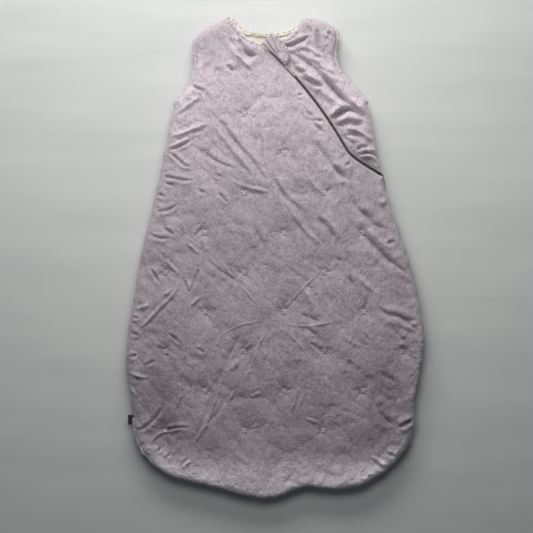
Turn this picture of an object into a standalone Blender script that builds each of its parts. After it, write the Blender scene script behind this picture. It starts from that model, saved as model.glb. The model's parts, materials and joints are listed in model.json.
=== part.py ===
"""Quilted baby sleeping bag, lying closed on its back.

Units are metres with +Z up. The head end points to +Y, the front faces up, and the origin is on the floor
under the middle of the bag. Back and front are each three layers: outer velour, wadding and lining. The
front is cut by the zip into a large flap and a small right chest piece; a strip along the left side stays
sewn to the back, and the flap folds open along the line beside that strip.
"""
from math import atan2, cos, pi, sin

import bmesh
import bpy
from mathutils import Matrix, Vector

MM = 0.001

# Layers, from the floor up. The front mirrors the back about the middle of the total thickness.
TOTAL_HEIGHT = 41.6 * MM
OUTER_THICK = 1.6 * MM
LINING_THICK = 1.0 * MM
GAP = 0.3 * MM
LINING_FLOOR = 16.3 * MM          # top of the back lining, where the inside space starts
OUTER_ROUNDING = 8.0 * MM
WADDING_ROUNDING = 6.5 * MM
MIDDLE = TOTAL_HEIGHT / 2
MOUTH_LOW = LINING_FLOOR + GAP    # neck, armholes and zip leave the side wall open between these heights
MOUTH_HIGH = TOTAL_HEIGHT - MOUTH_LOW

# Outline of the whole bag seen from above, in millimetres, clockwise from the right side of the neck.
OUTLINE_MM = [
    (42, 432), (52, 447), (76, 448), (104, 437), (117, 418), (112, 388), (117, 356), (140, 326),
    (170, 292), (182, 247), (196, 178), (209, 119), (233, 50), (259, -27), (274, -100), (280, -165),
    (270, -225), (262, -270), (260, -315), (244, -358), (203, -401), (158, -427), (108, -433), (55, -428),
    (15, -443), (-22, -450), (-73, -440), (-137, -423), (-184, -413), (-220, -394), (-250, -363),
    (-264, -325), (-267, -285), (-276, -235), (-280, -175), (-268, -91), (-248, 24), (-228, 100),
    (-211, 178), (-198, 247), (-184, 294), (-160, 321), (-148, 362), (-151, 400), (-136, 425),
    (-108, 441), (-86, 449), (-72, 437), (-56, 423), (-20, 418), (16, 420),
]
OUTLINE_STEPS = 2

# Front neckline, from the left strap to the right strap, and the fold line of the flap.
NECK_LEFT_MM = [(-92, 480), (-90, 449), (-78, 432), (-62, 414)]
NECK_FLAP_MM = [(-62, 414), (-50, 404)]
NECK_RIGHT_MM = [(-8, 410), (10, 405), (28, 411), (42, 426), (50, 452), (50, 480)]
FOLD_TOP = Vector((-62, 414)) * MM
FOLD_BOTTOM = Vector((-241, -388)) * MM
FOLD_AXIS_HEIGHT = TOTAL_HEIGHT + 0.5 * MM
FOLD_GAP = 0.4 * MM
ZONE_Y = 480 * MM                 # the panels' plan zones reach this far past the head and the hem
FLAP_SIDE_Y = 100 * MM            # past the right side, the flap's zone starts here and the chest's ends above
CHEST_SIDE_Y = 140 * MM

# Bindings on the front neckline, each a little short of its panel's ends.
LEFT_BINDING_MM = [(-86, 443), (-78, 432), (-64, 416)]
FLAP_BINDING_START = Vector((-60, 413)) * MM
FLAP_BINDING_REACH = 0.95         # share of the way from the neckline's bend to the zip's lip
RIGHT_BAND_MM = [(-6, 409), (10, 405), (28, 411), (41, 425)]

# Zip: an arc over the chest through three points, then a short tail to the right side seam.
ZIP_START = Vector((-22.6, 396)) * MM
ZIP_MIDDLE = Vector((47, 324)) * MM
ZIP_ARC_END = Vector((132, 202)) * MM
ZIP_EXIT = Vector((205, 149)) * MM
ZIP_EXIT_FROM = Vector((166, 176)) * MM         # the tail heads for its exit from here
ZIP_TAIL_BEND = 24 * MM
ZIP_EXIT_BEND = 22 * MM
ZIP_BEYOND = 40 * MM
ZIP_ARC_STEPS = 12
ZIP_TAIL_STEPS = 5
ZIP_SLIT_HALF = 5.5 * MM
ZIP_HEIGHT = 36.0 * MM            # the chain's height on the chest
COIL_RADIUS = 0.65 * MM
COIL_OFFSET = 1.45 * MM           # each half's centre from the zip's middle; the slider's post runs between
TAPE_NEAR = 2.4 * MM
TAPE_FAR = 3.8 * MM
TAPE_FAR_TURN = 2.9 * MM          # narrower where the chain turns over the edge into the side seam
TAPE_THICK = 0.6 * MM
SEAM_INSET = 1.2 * MM             # the chain's middle from the bag's outline along the side and hem
SEAM_START = 14 * MM              # where the chain lies fully in the side seam, past the zip's exit
SEAM_END = 9 * MM                 # where it stops, short of the fold line at the hem
SEAM_BRIDGE = 0.4                 # share of the way from the exit to the seam where the chain stands on edge
SEAM_BRIDGE_HEIGHT = 22.0 * MM
SEAM_BRIDGE_LEAN = 0.2
TAIL_STOPS = [(0.3, 36.0), (0.6, 36.0), (0.8, 35.2)]            # (share of the tail, the chain's height in mm)
TURN_STOPS = [(6.0, 31.5, 0.25), (2.6, 26.8, 0.55)]             # (mm before the exit, height in mm, lean)

# Slider, pull tab and guard.
SLIDER_ALONG = 60 * MM            # distance of the slider's middle from the zip's top, closed
SLIDER_HALF = 5.5 * MM
SLIDER_PLATE = 1.0 * MM
SLIDER_HALF_HEIGHT = 2.3 * MM
SLIDER_WIDTH = 3.9 * MM
FLANGE = 0.6 * MM
POST_HALF = 0.45 * MM
POST_LENGTH = 4 * MM
BITE = 0.1 * MM                   # how far joined blocks stay inside each other's faces
LUG_MIDDLE = Vector((3.2, 1.7, 3.9)) * MM       # the pull's pivot, from the slider's middle
LUG_SIZE = Vector((3.8, 1.0, 3.9)) * MM
LUG_HOLE = 1.2 * MM
PULL_LENGTH = 20 * MM
PULL_WIDTH = 3.6 * MM
PULL_THICK = 1.2 * MM
PULL_BAR = 1.6 * MM
PULL_WINDOW = Vector((2.7, 1.8)) * MM
STOP_SIZE = Vector((2.4, 1.5, 1.5)) * MM
GUARD_THICK = 3.0 * MM
GUARD_PLAN_MM = [(3, 0.6), (48, 0.6), (53, 3), (44, 12), (6, 17)]     # (along, across) the zip
WIND_FLAP_HALF = 14 * MM
WIND_FLAP_LOW = 23.2 * MM
WIND_FLAP_THICK = 1.4 * MM
WIND_FLAP_STOPS = (0.02, 0.2, 0.4, 0.6, 0.8, 0.97)              # shares of the zip's arc

# Quilting tufts: a staggered lattice of small stitched crosses.
TUFT_PITCH = 74 * MM
TUFT_TOP = 268 * MM
TUFT_EVEN_X = -57.3 * MM
TUFT_ROWS = 9
TUFT_CLEAR = 26 * MM              # least distance of a tuft from the outline
TUFT_ZIP_CLEAR = 22 * MM
TUFT_FOLD_CLEAR = 9 * MM
CROSS_ARM = 7.0 * MM
CROSS_HALF_WIDTH = 0.9 * MM
CROSS_THICK = 0.8 * MM

LABEL_CENTRE_Y = -305 * MM
LABEL_SIZE = Vector((9.0, 18.0, 1.4)) * MM
BINDING_THICK = 1.2 * MM
BINDING_EDGE = 3.0 * MM           # the armhole binding stays this far from the floor and the top
FACING_WIDTH = 16 * MM
FACING_THICK = 1.0 * MM
FAR = 330 * MM


def clear_scene():
    for item in list(bpy.data.objects):
        bpy.data.objects.remove(item)


def new_collection(name):
    collection = bpy.data.collections.new(name)
    bpy.context.scene.collection.children.link(collection)
    return collection


def principled(name, colour, roughness, metallic=0.0):
    material = bpy.data.materials.new(name)
    material.use_nodes = True
    shader = material.node_tree.nodes["Principled BSDF"]
    shader.inputs["Base Color"].default_value = (*colour, 1.0)
    shader.inputs["Roughness"].default_value = roughness
    shader.inputs["Metallic"].default_value = metallic
    return material


# ---------------------------------------------------------------- plan geometry

def metres(points_mm):
    return [Vector(point) * MM for point in points_mm]


def smooth_loop(points, steps):
    """A closed Catmull-Rom curve through the points."""
    count = len(points)
    result = []
    for i in range(count):
        p0, p1, p2, p3 = (points[(i + k) % count] for k in (-1, 0, 1, 2))
        for j in range(steps):
            t = j / steps
            bend = (2 * p0 - 5 * p1 + 4 * p2 - p3) * t * t + (3 * p1 - p0 - 3 * p2 + p3) * t ** 3
            result.append(0.5 * (2 * p1 + (p2 - p0) * t + bend))
    return result


def inset_loop(points, distance):
    """The clockwise loop moved inward by the distance."""
    count = len(points)
    result = []
    for i in range(count):
        along = (points[(i + 1) % count] - points[i - 1]).normalized()
        outward = Vector((-along.y, along.x))
        result.append(points[i] - outward * distance)
    return result


def circle_through(a, b, c):
    """Centre of the circle through three plan points."""
    ab = b - a
    ac = c - a
    cross = 2 * (ab.x * ac.y - ab.y * ac.x)
    x = (ac.y * ab.length_squared - ab.y * ac.length_squared) / cross
    y = (ab.x * ac.length_squared - ac.x * ab.length_squared) / cross
    return a + Vector((x, y))


ZIP_CENTRE = circle_through(ZIP_START, ZIP_MIDDLE, ZIP_ARC_END)
ZIP_RADIUS = (ZIP_START - ZIP_CENTRE).length


def bearing(point):
    offset = point - ZIP_CENTRE
    return atan2(offset.y, offset.x)


def zip_arc(distance):
    """Point, direction down the zip and direction across it (towards the right piece), on the arc."""
    angle = bearing(ZIP_START) - distance / ZIP_RADIUS
    outward = Vector((cos(angle), sin(angle)))
    along = Vector((outward.y, -outward.x))
    return ZIP_CENTRE + outward * ZIP_RADIUS, along, outward


ARC_LENGTH = (bearing(ZIP_START) - bearing(ZIP_ARC_END)) * ZIP_RADIUS


def zip_tail(t):
    """Point and direction on the cubic from the arc's end to the side seam."""
    start, along, _ = zip_arc(ARC_LENGTH)
    heading = (ZIP_EXIT - ZIP_EXIT_FROM).normalized()
    p0, p1, p2, p3 = start, start + along * ZIP_TAIL_BEND, ZIP_EXIT - heading * ZIP_EXIT_BEND, ZIP_EXIT
    s = 1 - t
    point = p0 * s ** 3 + p1 * 3 * s * s * t + p2 * 3 * s * t * t + p3 * t ** 3
    slope = (p1 - p0) * s * s + (p2 - p1) * 2 * s * t + (p3 - p2) * t * t
    return point, slope.normalized()


def zip_plan():
    """Chest run of the zip as (point, along, across) in plan, from the neck to the side seam."""
    run = [zip_arc(ARC_LENGTH * i / ZIP_ARC_STEPS) for i in range(ZIP_ARC_STEPS + 1)]
    for i in range(1, ZIP_TAIL_STEPS + 1):
        point, along = zip_tail(i / ZIP_TAIL_STEPS)
        run.append((point, along, Vector((-along.y, along.x))))
    return run


def zip_lip(offset):
    """A lip of the chest slit, continued past the side of the bag."""
    run = zip_plan()
    lip = [point + across * offset for point, _, across in run]
    first, along, across = run[0]
    last, last_along, last_across = run[-1]
    lip.insert(0, first - along * ZIP_BEYOND + across * offset)
    lip.append(last + last_along * ZIP_BEYOND + last_across * offset)
    return lip


# ---------------------------------------------------------------- solids

def to_mesh(curve_object, name):
    """A curve object's evaluated surface as a welded mesh object in the cutters' collection."""
    bpy.context.view_layer.update()
    graph = bpy.context.evaluated_depsgraph_get()
    mesh = bpy.data.meshes.new_from_object(curve_object.evaluated_get(graph))
    weld = bmesh.new()
    weld.from_mesh(mesh)
    bmesh.ops.remove_doubles(weld, verts=weld.verts, dist=0.00001)
    bmesh.ops.recalc_face_normals(weld, faces=weld.faces)
    weld.to_mesh(mesh)
    weld.free()
    mesh.transform(curve_object.matrix_world)
    bpy.data.objects.remove(curve_object)
    return bpy.data.objects.new(name, mesh)


def slab(name, loop, low, high, rounding=0.0):
    """A flat plan shape between two heights; its rounded edge stays inside the loop if it was inset first."""
    curve = bpy.data.curves.new(name, "CURVE")
    curve.dimensions = "2D"
    curve.fill_mode = "BOTH"
    curve.extrude = (high - low) / 2 - rounding
    curve.bevel_depth = rounding
    curve.bevel_resolution = 0
    spline = curve.splines.new("POLY")
    spline.points.add(len(loop) - 1)
    for slot, point in zip(spline.points, loop):
        slot.co = (point.x, point.y, 0, 1)
    spline.use_cyclic_u = True
    holder = bpy.data.objects.new(name, curve)
    holder.location.z = (low + high) / 2
    bpy.context.scene.collection.objects.link(holder)
    return to_mesh(holder, name)


def as_cutter(solid):
    cutters.objects.link(solid)
    solid.hide_render = True
    solid.display_type = "WIRE"
    return solid


def cut(target, tool, operation="DIFFERENCE"):
    modifier = target.modifiers.new(tool.name, "BOOLEAN")
    modifier.operation = operation
    modifier.object = tool
    modifier.solver = "EXACT"


def pillow(name, loop, inset, low, high, rounding=0.0):
    return slab(name, inset_loop(loop, inset + rounding), low, high, rounding)


def shell(name, loop, outside, inside):
    """A closed bag-shaped skin: the outside pillow less the inside one, each (inset, height, rounding)."""
    solids = []
    for (inset, low, rounding), label in ((outside, "outside"), (inside, "inside")):
        high = TOTAL_HEIGHT - low
        solids.append(as_cutter(pillow(f"{name}_{label}", loop, inset, low, high, rounding)))
    cut(solids[0], solids[1])
    bpy.context.view_layer.update()
    graph = bpy.context.evaluated_depsgraph_get()
    return bpy.data.meshes.new_from_object(solids[0].evaluated_get(graph))


def add_part(name, mesh, material, parent=None):
    part = bpy.data.objects.new(name, mesh.copy())
    part.data.name = name
    part.data.materials.clear()
    part.data.materials.append(material)
    parts.objects.link(part)
    if parent:
        attach(part, parent)
    return part


def attach(part, parent):
    bpy.context.view_layer.update()
    part.parent = parent
    part.matrix_parent_inverse = parent.matrix_world.inverted()


def pivot(name, location, direction, parent=None):
    """An empty on a joint's axis, its local Z along the axis."""
    empty = bpy.data.objects.new(name, None)
    parts.objects.link(empty)
    empty.matrix_world = Matrix.Translation(location) @ direction.to_track_quat("Z", "Y").to_matrix().to_4x4()
    if parent:
        attach(empty, parent)
    return empty


def loft(name, sections, material, parent=None):
    """A closed strip through four-cornered sections that turn on their way."""
    shape = bmesh.new()
    rings = [[shape.verts.new(corner) for corner in section] for section in sections]
    for ring, following in zip(rings, rings[1:]):
        for i in range(4):
            j = (i + 1) % 4
            shape.faces.new((ring[i], ring[j], following[j], following[i]))
    shape.faces.new(reversed(rings[0]))
    shape.faces.new(rings[-1])
    bmesh.ops.recalc_face_normals(shape, faces=shape.faces)
    mesh = bpy.data.meshes.new(name)
    shape.to_mesh(mesh)
    shape.free()
    return add_part(name, mesh, material, parent)


def wire(name, path, radius, material, parent=None):
    curve = bpy.data.curves.new(name, "CURVE")
    curve.dimensions = "3D"
    curve.bevel_depth = radius
    curve.bevel_resolution = 1
    curve.use_fill_caps = True
    spline = curve.splines.new("POLY")
    spline.points.add(len(path) - 1)
    for slot, point in zip(spline.points, path):
        slot.co = (*point, 1)
    holder = bpy.data.objects.new(name, curve)
    bpy.context.scene.collection.objects.link(holder)
    solid = to_mesh(holder, name)
    mesh = solid.data
    bpy.data.objects.remove(solid)
    mesh.shade_smooth()
    return add_part(name, mesh, material, parent)


def box(name, low, high, material, frame, parent=None):
    """A block between two corners of a local frame."""
    shape = bmesh.new()
    bmesh.ops.create_cube(shape, size=1.0)
    size = high - low
    bmesh.ops.scale(shape, vec=size, verts=shape.verts)
    bmesh.ops.translate(shape, vec=(low + high) / 2, verts=shape.verts)
    bmesh.ops.transform(shape, matrix=frame, verts=shape.verts)
    mesh = bpy.data.meshes.new(name)
    shape.to_mesh(mesh)
    shape.free()
    return add_part(name, mesh, material, parent)


# ---------------------------------------------------------------- the bag's panels

# Where the side wall is open: plan shapes crossing it at the neck, the armholes and along the zip's seam.
MOUTHS_MM = {
    "neck": [(-83, 470), (-83, 400), (-40, 370), (30, 370), (56, 400), (56, 470)],
    "left_armhole": [(-200, 418), (-128, 418), (-120, 340), (-168, 288), (-215, 288)],
    "right_armhole": [(150, 424), (100, 420), (90, 350), (152, 292), (220, 292)],
    "zip_seam": [(172, 157), (330, 141), (330, -480), (-256, -480), (-236, -366), (-150, -380), (40, -395),
                 (180, -370), (225, -300), (228, -200), (225, -60), (190, 80)],
}
ARMHOLE_BINDINGS_MM = {
    "left": [(-220, 424), (-120, 424), (-110, 340), (-160, 281), (-220, 281)],
    "right": [(160, 430), (92, 430), (82, 350), (145, 285), (225, 285)],
}


def layer_meshes(outline):
    """The layers of the whole bag, before they are cut into panels: two nested skins and two sheets of wadding."""
    inside = OUTER_THICK + GAP
    lining_low = LINING_FLOOR - LINING_THICK
    return {
        "outer": shell("outer", outline, (0, 0, OUTER_ROUNDING),
                       (OUTER_THICK, OUTER_THICK, OUTER_ROUNDING - OUTER_THICK)),
        "wadding": shell("wadding", outline, (inside, inside, WADDING_ROUNDING), (-OUTER_THICK, lining_low - GAP, 0.0)),
        "lining": shell("lining", outline, (inside, lining_low, 0.0), (inside + LINING_THICK, LINING_FLOOR, 0.0)),
    }


def panel_zones():
    """Plan zones of the four panels: the back, the sewn left strip, the flap and the right chest piece."""
    half_gap = FOLD_GAP / 2
    left_edge = [FOLD_TOP - fold_across * half_gap, fold_far_end - fold_across * half_gap]
    flap_edge = [fold_far_end + fold_across * half_gap, FOLD_TOP + fold_across * half_gap]
    top_left, low_left, low_right, top_right = (Vector(c) for c in (
        (-FAR, ZONE_Y), (-FAR, -ZONE_Y), (FAR, -ZONE_Y), (FAR, ZONE_Y)))
    left = [top_left, *metres(NECK_LEFT_MM[:-1]), *left_edge, low_left]
    flap = [flap_edge[1], *metres(NECK_FLAP_MM[1:]), *zip_lip(-ZIP_SLIT_HALF)[1:], Vector((FAR, FLAP_SIDE_Y)),
            low_right, flap_edge[0]]
    right = [*metres(NECK_RIGHT_MM), top_right, Vector((FAR, CHEST_SIDE_Y)),
             *reversed(zip_lip(ZIP_SLIT_HALF)[1:])]
    low, high = MIDDLE + GAP / 2, 2 * TOTAL_HEIGHT
    return {
        "back": as_cutter(slab("back_zone", [top_left, low_left, low_right, top_right], -MM, MIDDLE - GAP / 2)),
        "left_front": as_cutter(slab("left_zone", left, low, high)),
        "flap": as_cutter(slab("flap_zone", flap, low, high)),
        "right_front": as_cutter(slab("right_zone", right, low, high)),
    }


def make_panels():
    layers = layer_meshes(outline)
    looks = {"outer": velour, "wadding": wadding_white, "lining": lining_cream}
    for zone_name, zone in panel_zones().items():
        parent = flap_pivot if zone_name == "flap" else None
        for layer_name, mesh in layers.items():
            panel = add_part(f"{zone_name}_{layer_name}", mesh, looks[layer_name], parent)
            cut(panel, zone, "INTERSECT")
            for mouth in mouths.values():
                cut(panel, mouth)


def make_armhole_bindings():
    """Binding tape round each armhole: a band on the side wall, open in the middle."""
    inner = -GAP
    outer = -GAP - BINDING_THICK
    band = shell("binding", outline, (outer, BINDING_EDGE, OUTER_ROUNDING), (inner, -MM, OUTER_ROUNDING))
    for side, plan in ARMHOLE_BINDINGS_MM.items():
        zone = as_cutter(slab(f"{side}_binding_zone", metres(plan), -MM, 2 * TOTAL_HEIGHT))
        binding = add_part(f"{side}_armhole_binding", band, velour)
        cut(binding, zone, "INTERSECT")
        cut(binding, mouths[f"{side}_armhole"])


def neck_ribbon(name, points, parent=None):
    """A binding strip standing on edge along a stretch of the front neckline, just clear of the layers."""
    low, high = MOUTH_HIGH, TOTAL_HEIGHT
    sections = []
    for i, point in enumerate(points):
        along = (points[min(i + 1, len(points) - 1)] - points[max(i - 1, 0)]).normalized()
        out = Vector((-along.y, along.x))
        near = point + out * GAP * 2
        far = near + out * BINDING_THICK
        sections.append([(*near, low), (*far, low), (*far, high), (*near, high)])
    return loft(name, sections, velour, parent)


def make_neck():
    neck_ribbon("left_neck_binding", metres(LEFT_BINDING_MM))
    top, _, across = zip_arc(0)
    bend = Vector(NECK_FLAP_MM[-1]) * MM
    lip_end = bend.lerp(top - across * ZIP_SLIT_HALF, FLAP_BINDING_REACH)
    neck_ribbon("flap_neck_binding", [FLAP_BINDING_START, bend, lip_end], flap_pivot)
    neck_ribbon("right_neck_band", metres(RIGHT_BAND_MM))
    low = MOUTH_LOW + GAP
    facing = add_part("back_neck_facing", pillow("facing", outline, MM, low, low + FACING_THICK).data, lining_cream)
    cut(facing, as_cutter(pillow("facing_inside", outline, FACING_WIDTH, 0, TOTAL_HEIGHT)))
    cut(facing, mouths["neck"], "INTERSECT")


# ---------------------------------------------------------------- the zip

def chain_frames():
    """The chain's path as (point, across, normal, tape reach): flat on the chest, on edge in the side seam.

    Across points to the half that is sewn to the back. The first frame is at the slider's closed place.
    """
    up = Vector((0, 0, 1))
    flat = []
    for i in range(ZIP_ARC_STEPS + 1):
        distance = SLIDER_ALONG - SLIDER_HALF + (ARC_LENGTH - SLIDER_ALONG + SLIDER_HALF) * i / ZIP_ARC_STEPS
        point, _, across = zip_arc(distance)
        flat.append((Vector((*point, ZIP_HEIGHT)), Vector((*across, 0)), up, TAPE_FAR))
    for t, height in TAIL_STOPS:
        point, along = zip_tail(t)
        flat.append((Vector((*point, height * MM)), Vector((-along.y, along.x, 0)), up, TAPE_FAR))
    _, heading = zip_tail(1)
    side_across = Vector((-heading.y, heading.x, 0))
    turn = []
    for back_off, height, lean in TURN_STOPS:
        point = ZIP_EXIT - heading * back_off * MM
        across = (side_across * (1 - lean) - up * lean).normalized()
        normal = Vector((*heading, 0)).cross(across).normalized()
        turn.append((Vector((*point, height * MM)), across, -normal if normal.z < 0 else normal, TAPE_FAR_TURN))
    seam = inset_loop(outline, SEAM_INSET)
    first = next(i for i, p in enumerate(seam) if p.x > ZIP_EXIT.x / 2 and p.y < ZIP_EXIT.y - SEAM_START)
    run = []
    for i in range(first, len(seam)):
        point = seam[i]
        if (point - FOLD_TOP).dot(fold_across) < SEAM_END and point.x < 0:
            break
        along = (seam[i + 1] - seam[i - 1]).normalized()
        outward = Vector((-along.y, along.x, 0))
        run.append((Vector((*point, MIDDLE)), -up, outward, TAPE_FAR))
    bridge = ZIP_EXIT.lerp(seam[first], SEAM_BRIDGE)
    across = (side_across * SEAM_BRIDGE_LEAN - up).normalized()
    turn.append((Vector((*bridge, SEAM_BRIDGE_HEIGHT)), across, run[0][2], TAPE_FAR_TURN))
    return flat + turn + run


def make_chain():
    """Both halves of the coil chain and both tapes; the halves stand apart so the slider can run between."""
    frames = chain_frames()
    for owner, sign, parent in (("right", 1, None), ("flap", -1, flap_pivot)):
        path = [point + across * sign * COIL_OFFSET for point, across, _, _ in frames]
        wire(f"{owner}_zip_coil", path, COIL_RADIUS, coil_dark, parent)
        sections = []
        for point, across, normal, reach in frames:
            near = point + across * sign * TAPE_NEAR
            far = point + across * sign * reach
            lift = normal * TAPE_THICK / 2
            sections.append([near - lift, far - lift, far + lift, near + lift])
        loft(f"{owner}_zip_tape", sections, tape_mauve, parent)
        point, across, normal, _ = frames[0]
        along = across.cross(normal)
        centre = point - along * (STOP_SIZE.x + GAP) + across * sign * (COIL_OFFSET + GAP)
        frame = Matrix((along, across, normal)).transposed().to_4x4()
        frame.translation = centre
        box(f"{owner}_top_stop", -STOP_SIZE / 2, STOP_SIZE / 2, slider_metal, frame, parent)
    point, _, outward, _ = frames[-1]
    along = (frames[-1][0] - frames[-2][0]).normalized()
    frame = Matrix((along, outward, Vector((0, 0, 1)))).transposed().to_4x4()
    frame.translation = point + along * (STOP_SIZE.x + GAP) - Vector((0, 0, COIL_OFFSET))
    box("bottom_stop", -STOP_SIZE / 2, STOP_SIZE / 2, slider_metal, frame)


def slider_frame():
    point, along, across = zip_arc(SLIDER_ALONG)
    frame = Matrix((Vector((*along, 0)), Vector((*across, 0)), Vector((0, 0, 1)))).transposed().to_4x4()
    frame.translation = Vector((*point, ZIP_HEIGHT))
    return frame


def make_slider():
    """A slider with both plates and the post, cut away on the flap's side so the flap's half can leave it."""
    frame = slider_frame()
    half, width, height = SLIDER_HALF, SLIDER_WIDTH, SLIDER_HALF_HEIGHT
    inner = height - SLIDER_PLATE
    buried = height - BITE
    spans = {
        "top": ((-half, -POST_HALF - BITE, inner), (half, width, height)),
        "bottom": ((-half, -POST_HALF - BITE, -height), (half, width, -inner)),
        "post": ((-half + BITE, -POST_HALF, -buried), (-half + POST_LENGTH, POST_HALF, buried)),
        "top_flange": ((-half + BITE, width - FLANGE, inner - FLANGE), (half - BITE, width - BITE, buried)),
        "bottom_flange": ((-half + BITE, width - FLANGE, -buried), (half - BITE, width - BITE, -inner + FLANGE)),
    }
    low = LUG_MIDDLE - Vector((LUG_SIZE.x / 2, LUG_SIZE.y / 2, LUG_MIDDLE.z - buried))
    high = LUG_MIDDLE + Vector((LUG_SIZE.x / 2, LUG_SIZE.y / 2, LUG_SIZE.z / 2))
    spans["lug"] = (low, high)
    blocks = {}
    for name, (start, end) in spans.items():
        blocks[name] = box(f"slider_{name}", Vector(start), Vector(end), slider_metal, frame)
    body = blocks.pop("top")
    body.name = "zip_slider"
    attach(body, slider_pivot)
    for block in blocks.values():
        parts.objects.unlink(block)
        cut(body, as_cutter(block), "UNION")
    bpy.ops.mesh.primitive_cylinder_add(vertices=12, radius=LUG_HOLE, depth=4 * LUG_SIZE.y)
    hole = bpy.context.active_object
    hole.name = "lug_hole"
    hole.data.transform(frame @ Matrix.Translation(LUG_MIDDLE) @ Matrix.Rotation(pi / 2, 4, "X"))
    for owner in hole.users_collection:
        owner.objects.unlink(hole)
    cut(body, as_cutter(hole))


def make_pull():
    frame = slider_frame()
    side = PULL_WIDTH / 2
    thick = PULL_THICK / 2
    start = LUG_MIDDLE - Vector((PULL_BAR / 2, side, thick))
    end = LUG_MIDDLE + Vector((PULL_LENGTH, side, thick))
    pull = box("zip_pull", start, end, slider_metal, frame, pull_pivot)
    low = LUG_MIDDLE + Vector((PULL_BAR / 2, -PULL_WINDOW.y / 2, -2 * thick))
    high = LUG_MIDDLE + Vector((PULL_BAR / 2 + PULL_WINDOW.x, PULL_WINDOW.y / 2, 2 * thick))
    window = box("pull_window", low, high, slider_metal, frame)
    parts.objects.unlink(window)
    cut(pull, as_cutter(window))


def zip_plan_point(along_mm, across_mm):
    point, _, across = zip_arc(along_mm * MM)
    return point + across * across_mm * MM


def make_guard():
    loop = [zip_plan_point(*corner) for corner in GUARD_PLAN_MM]
    low = TOTAL_HEIGHT + GAP
    mesh = slab("guard", loop, low, low + GUARD_THICK).data
    add_part("zip_guard", mesh, velour, guard_pivot)


def make_wind_flap():
    """The strip behind the zip, sewn to the right chest piece's lining."""
    run = [zip_arc(ARC_LENGTH * share) for share in WIND_FLAP_STOPS]
    near = [point - across * WIND_FLAP_HALF for point, _, across in run]
    far = [point + across * WIND_FLAP_HALF for point, _, across in run]
    mesh = slab("strip", near + far[::-1], WIND_FLAP_LOW, WIND_FLAP_LOW + WIND_FLAP_THICK).data
    add_part("wind_flap", mesh, lining_cream)


# ---------------------------------------------------------------- tufts and label

def distance_to_loop(point, loop):
    best = FAR
    for start, end in zip(loop, loop[1:] + loop[:1]):
        span = end - start
        share = max(0.0, min(1.0, (point - start).dot(span) / span.length_squared))
        best = min(best, (point - start - span * share).length)
    return best


def inside(point, loop):
    crossings = 0
    for start, end in zip(loop, loop[1:] + loop[:1]):
        if (start.y > point.y) != (end.y > point.y):
            x = start.x + (point.y - start.y) / (end.y - start.y) * (end.x - start.x)
            crossings += x > point.x
    return crossings % 2 == 1


def tuft_places():
    """Sites of the staggered lattice that clear the outline, the zip and the fold line."""
    zip_line = [point for point, _, _ in zip_plan()]
    places = []
    for row in range(TUFT_ROWS):
        for column in range(-3, 5):
            if (row + column) % 2:
                continue
            site = Vector((TUFT_EVEN_X + column * TUFT_PITCH, TUFT_TOP - row * TUFT_PITCH))
            if not inside(site, outline) or distance_to_loop(site, outline) < TUFT_CLEAR:
                continue
            if min((site - point).length for point in zip_line) < TUFT_ZIP_CLEAR:
                continue
            if abs((site - FOLD_TOP).dot(fold_across)) < TUFT_FOLD_CLEAR:
                continue
            places.append(site)
    return places


def make_tufts():
    arm, half = CROSS_ARM / 2 ** 0.5, CROSS_HALF_WIDTH * 2 ** 0.5
    corner = [Vector((half, 0)), Vector((arm + half / 2, arm - half / 2)), Vector((arm - half / 2, arm + half / 2))]
    loop = []
    for quarter in range(4):
        turn = Matrix.Rotation(quarter * pi / 2, 2)
        loop.extend(turn @ point for point in corner)
    low = TOTAL_HEIGHT + GAP
    cross = slab("tuft_cross", loop, 0, CROSS_THICK).data
    for number, site in enumerate(tuft_places(), start=1):
        on_flap = (site - FOLD_TOP).dot(fold_across) > 0
        tuft = bpy.data.objects.new(f"tuft_cross_{number:02d}", cross)
        tuft.location = (*site, low)
        parts.objects.link(tuft)
        if on_flap:
            attach(tuft, flap_pivot)
    cross.materials.append(thread_mauve)


def make_label():
    edge = min(point.x for point in outline if abs(point.y - LABEL_CENTRE_Y) < 2 * LABEL_SIZE.y)
    middle = Vector((edge - GAP - LABEL_SIZE.x / 2, LABEL_CENTRE_Y, MIDDLE))
    box("side_label", -LABEL_SIZE / 2, LABEL_SIZE / 2, label_charcoal, Matrix.Translation(middle))


clear_scene()
parts = new_collection("baby_sleeping_bag")
cutters = new_collection("cutters")
velour = principled("velour", (0.50, 0.42, 0.45), 0.95)
wadding_white = principled("wadding", (0.92, 0.92, 0.90), 0.95)
lining_cream = principled("lining", (0.80, 0.76, 0.70), 0.85)
tape_mauve = principled("zip_tape", (0.24, 0.17, 0.18), 0.8)
coil_dark = principled("zip_coil", (0.10, 0.06, 0.07), 0.45)
slider_metal = principled("slider", (0.20, 0.15, 0.15), 0.35, 1.0)
thread_mauve = principled("thread", (0.56, 0.47, 0.50), 0.7)
label_charcoal = principled("label", (0.03, 0.03, 0.03), 0.8)

outline = smooth_loop(metres(OUTLINE_MM), OUTLINE_STEPS)
fold_along = (FOLD_BOTTOM - FOLD_TOP).normalized()
fold_across = Vector((-fold_along.y, fold_along.x))
fold_far_end = FOLD_BOTTOM + fold_along * 2 * ZIP_BEYOND
mouths = {name: as_cutter(slab(f"{name}_mouth", metres(loop), MOUTH_LOW, MOUTH_HIGH))
          for name, loop in MOUTHS_MM.items()}

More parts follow.
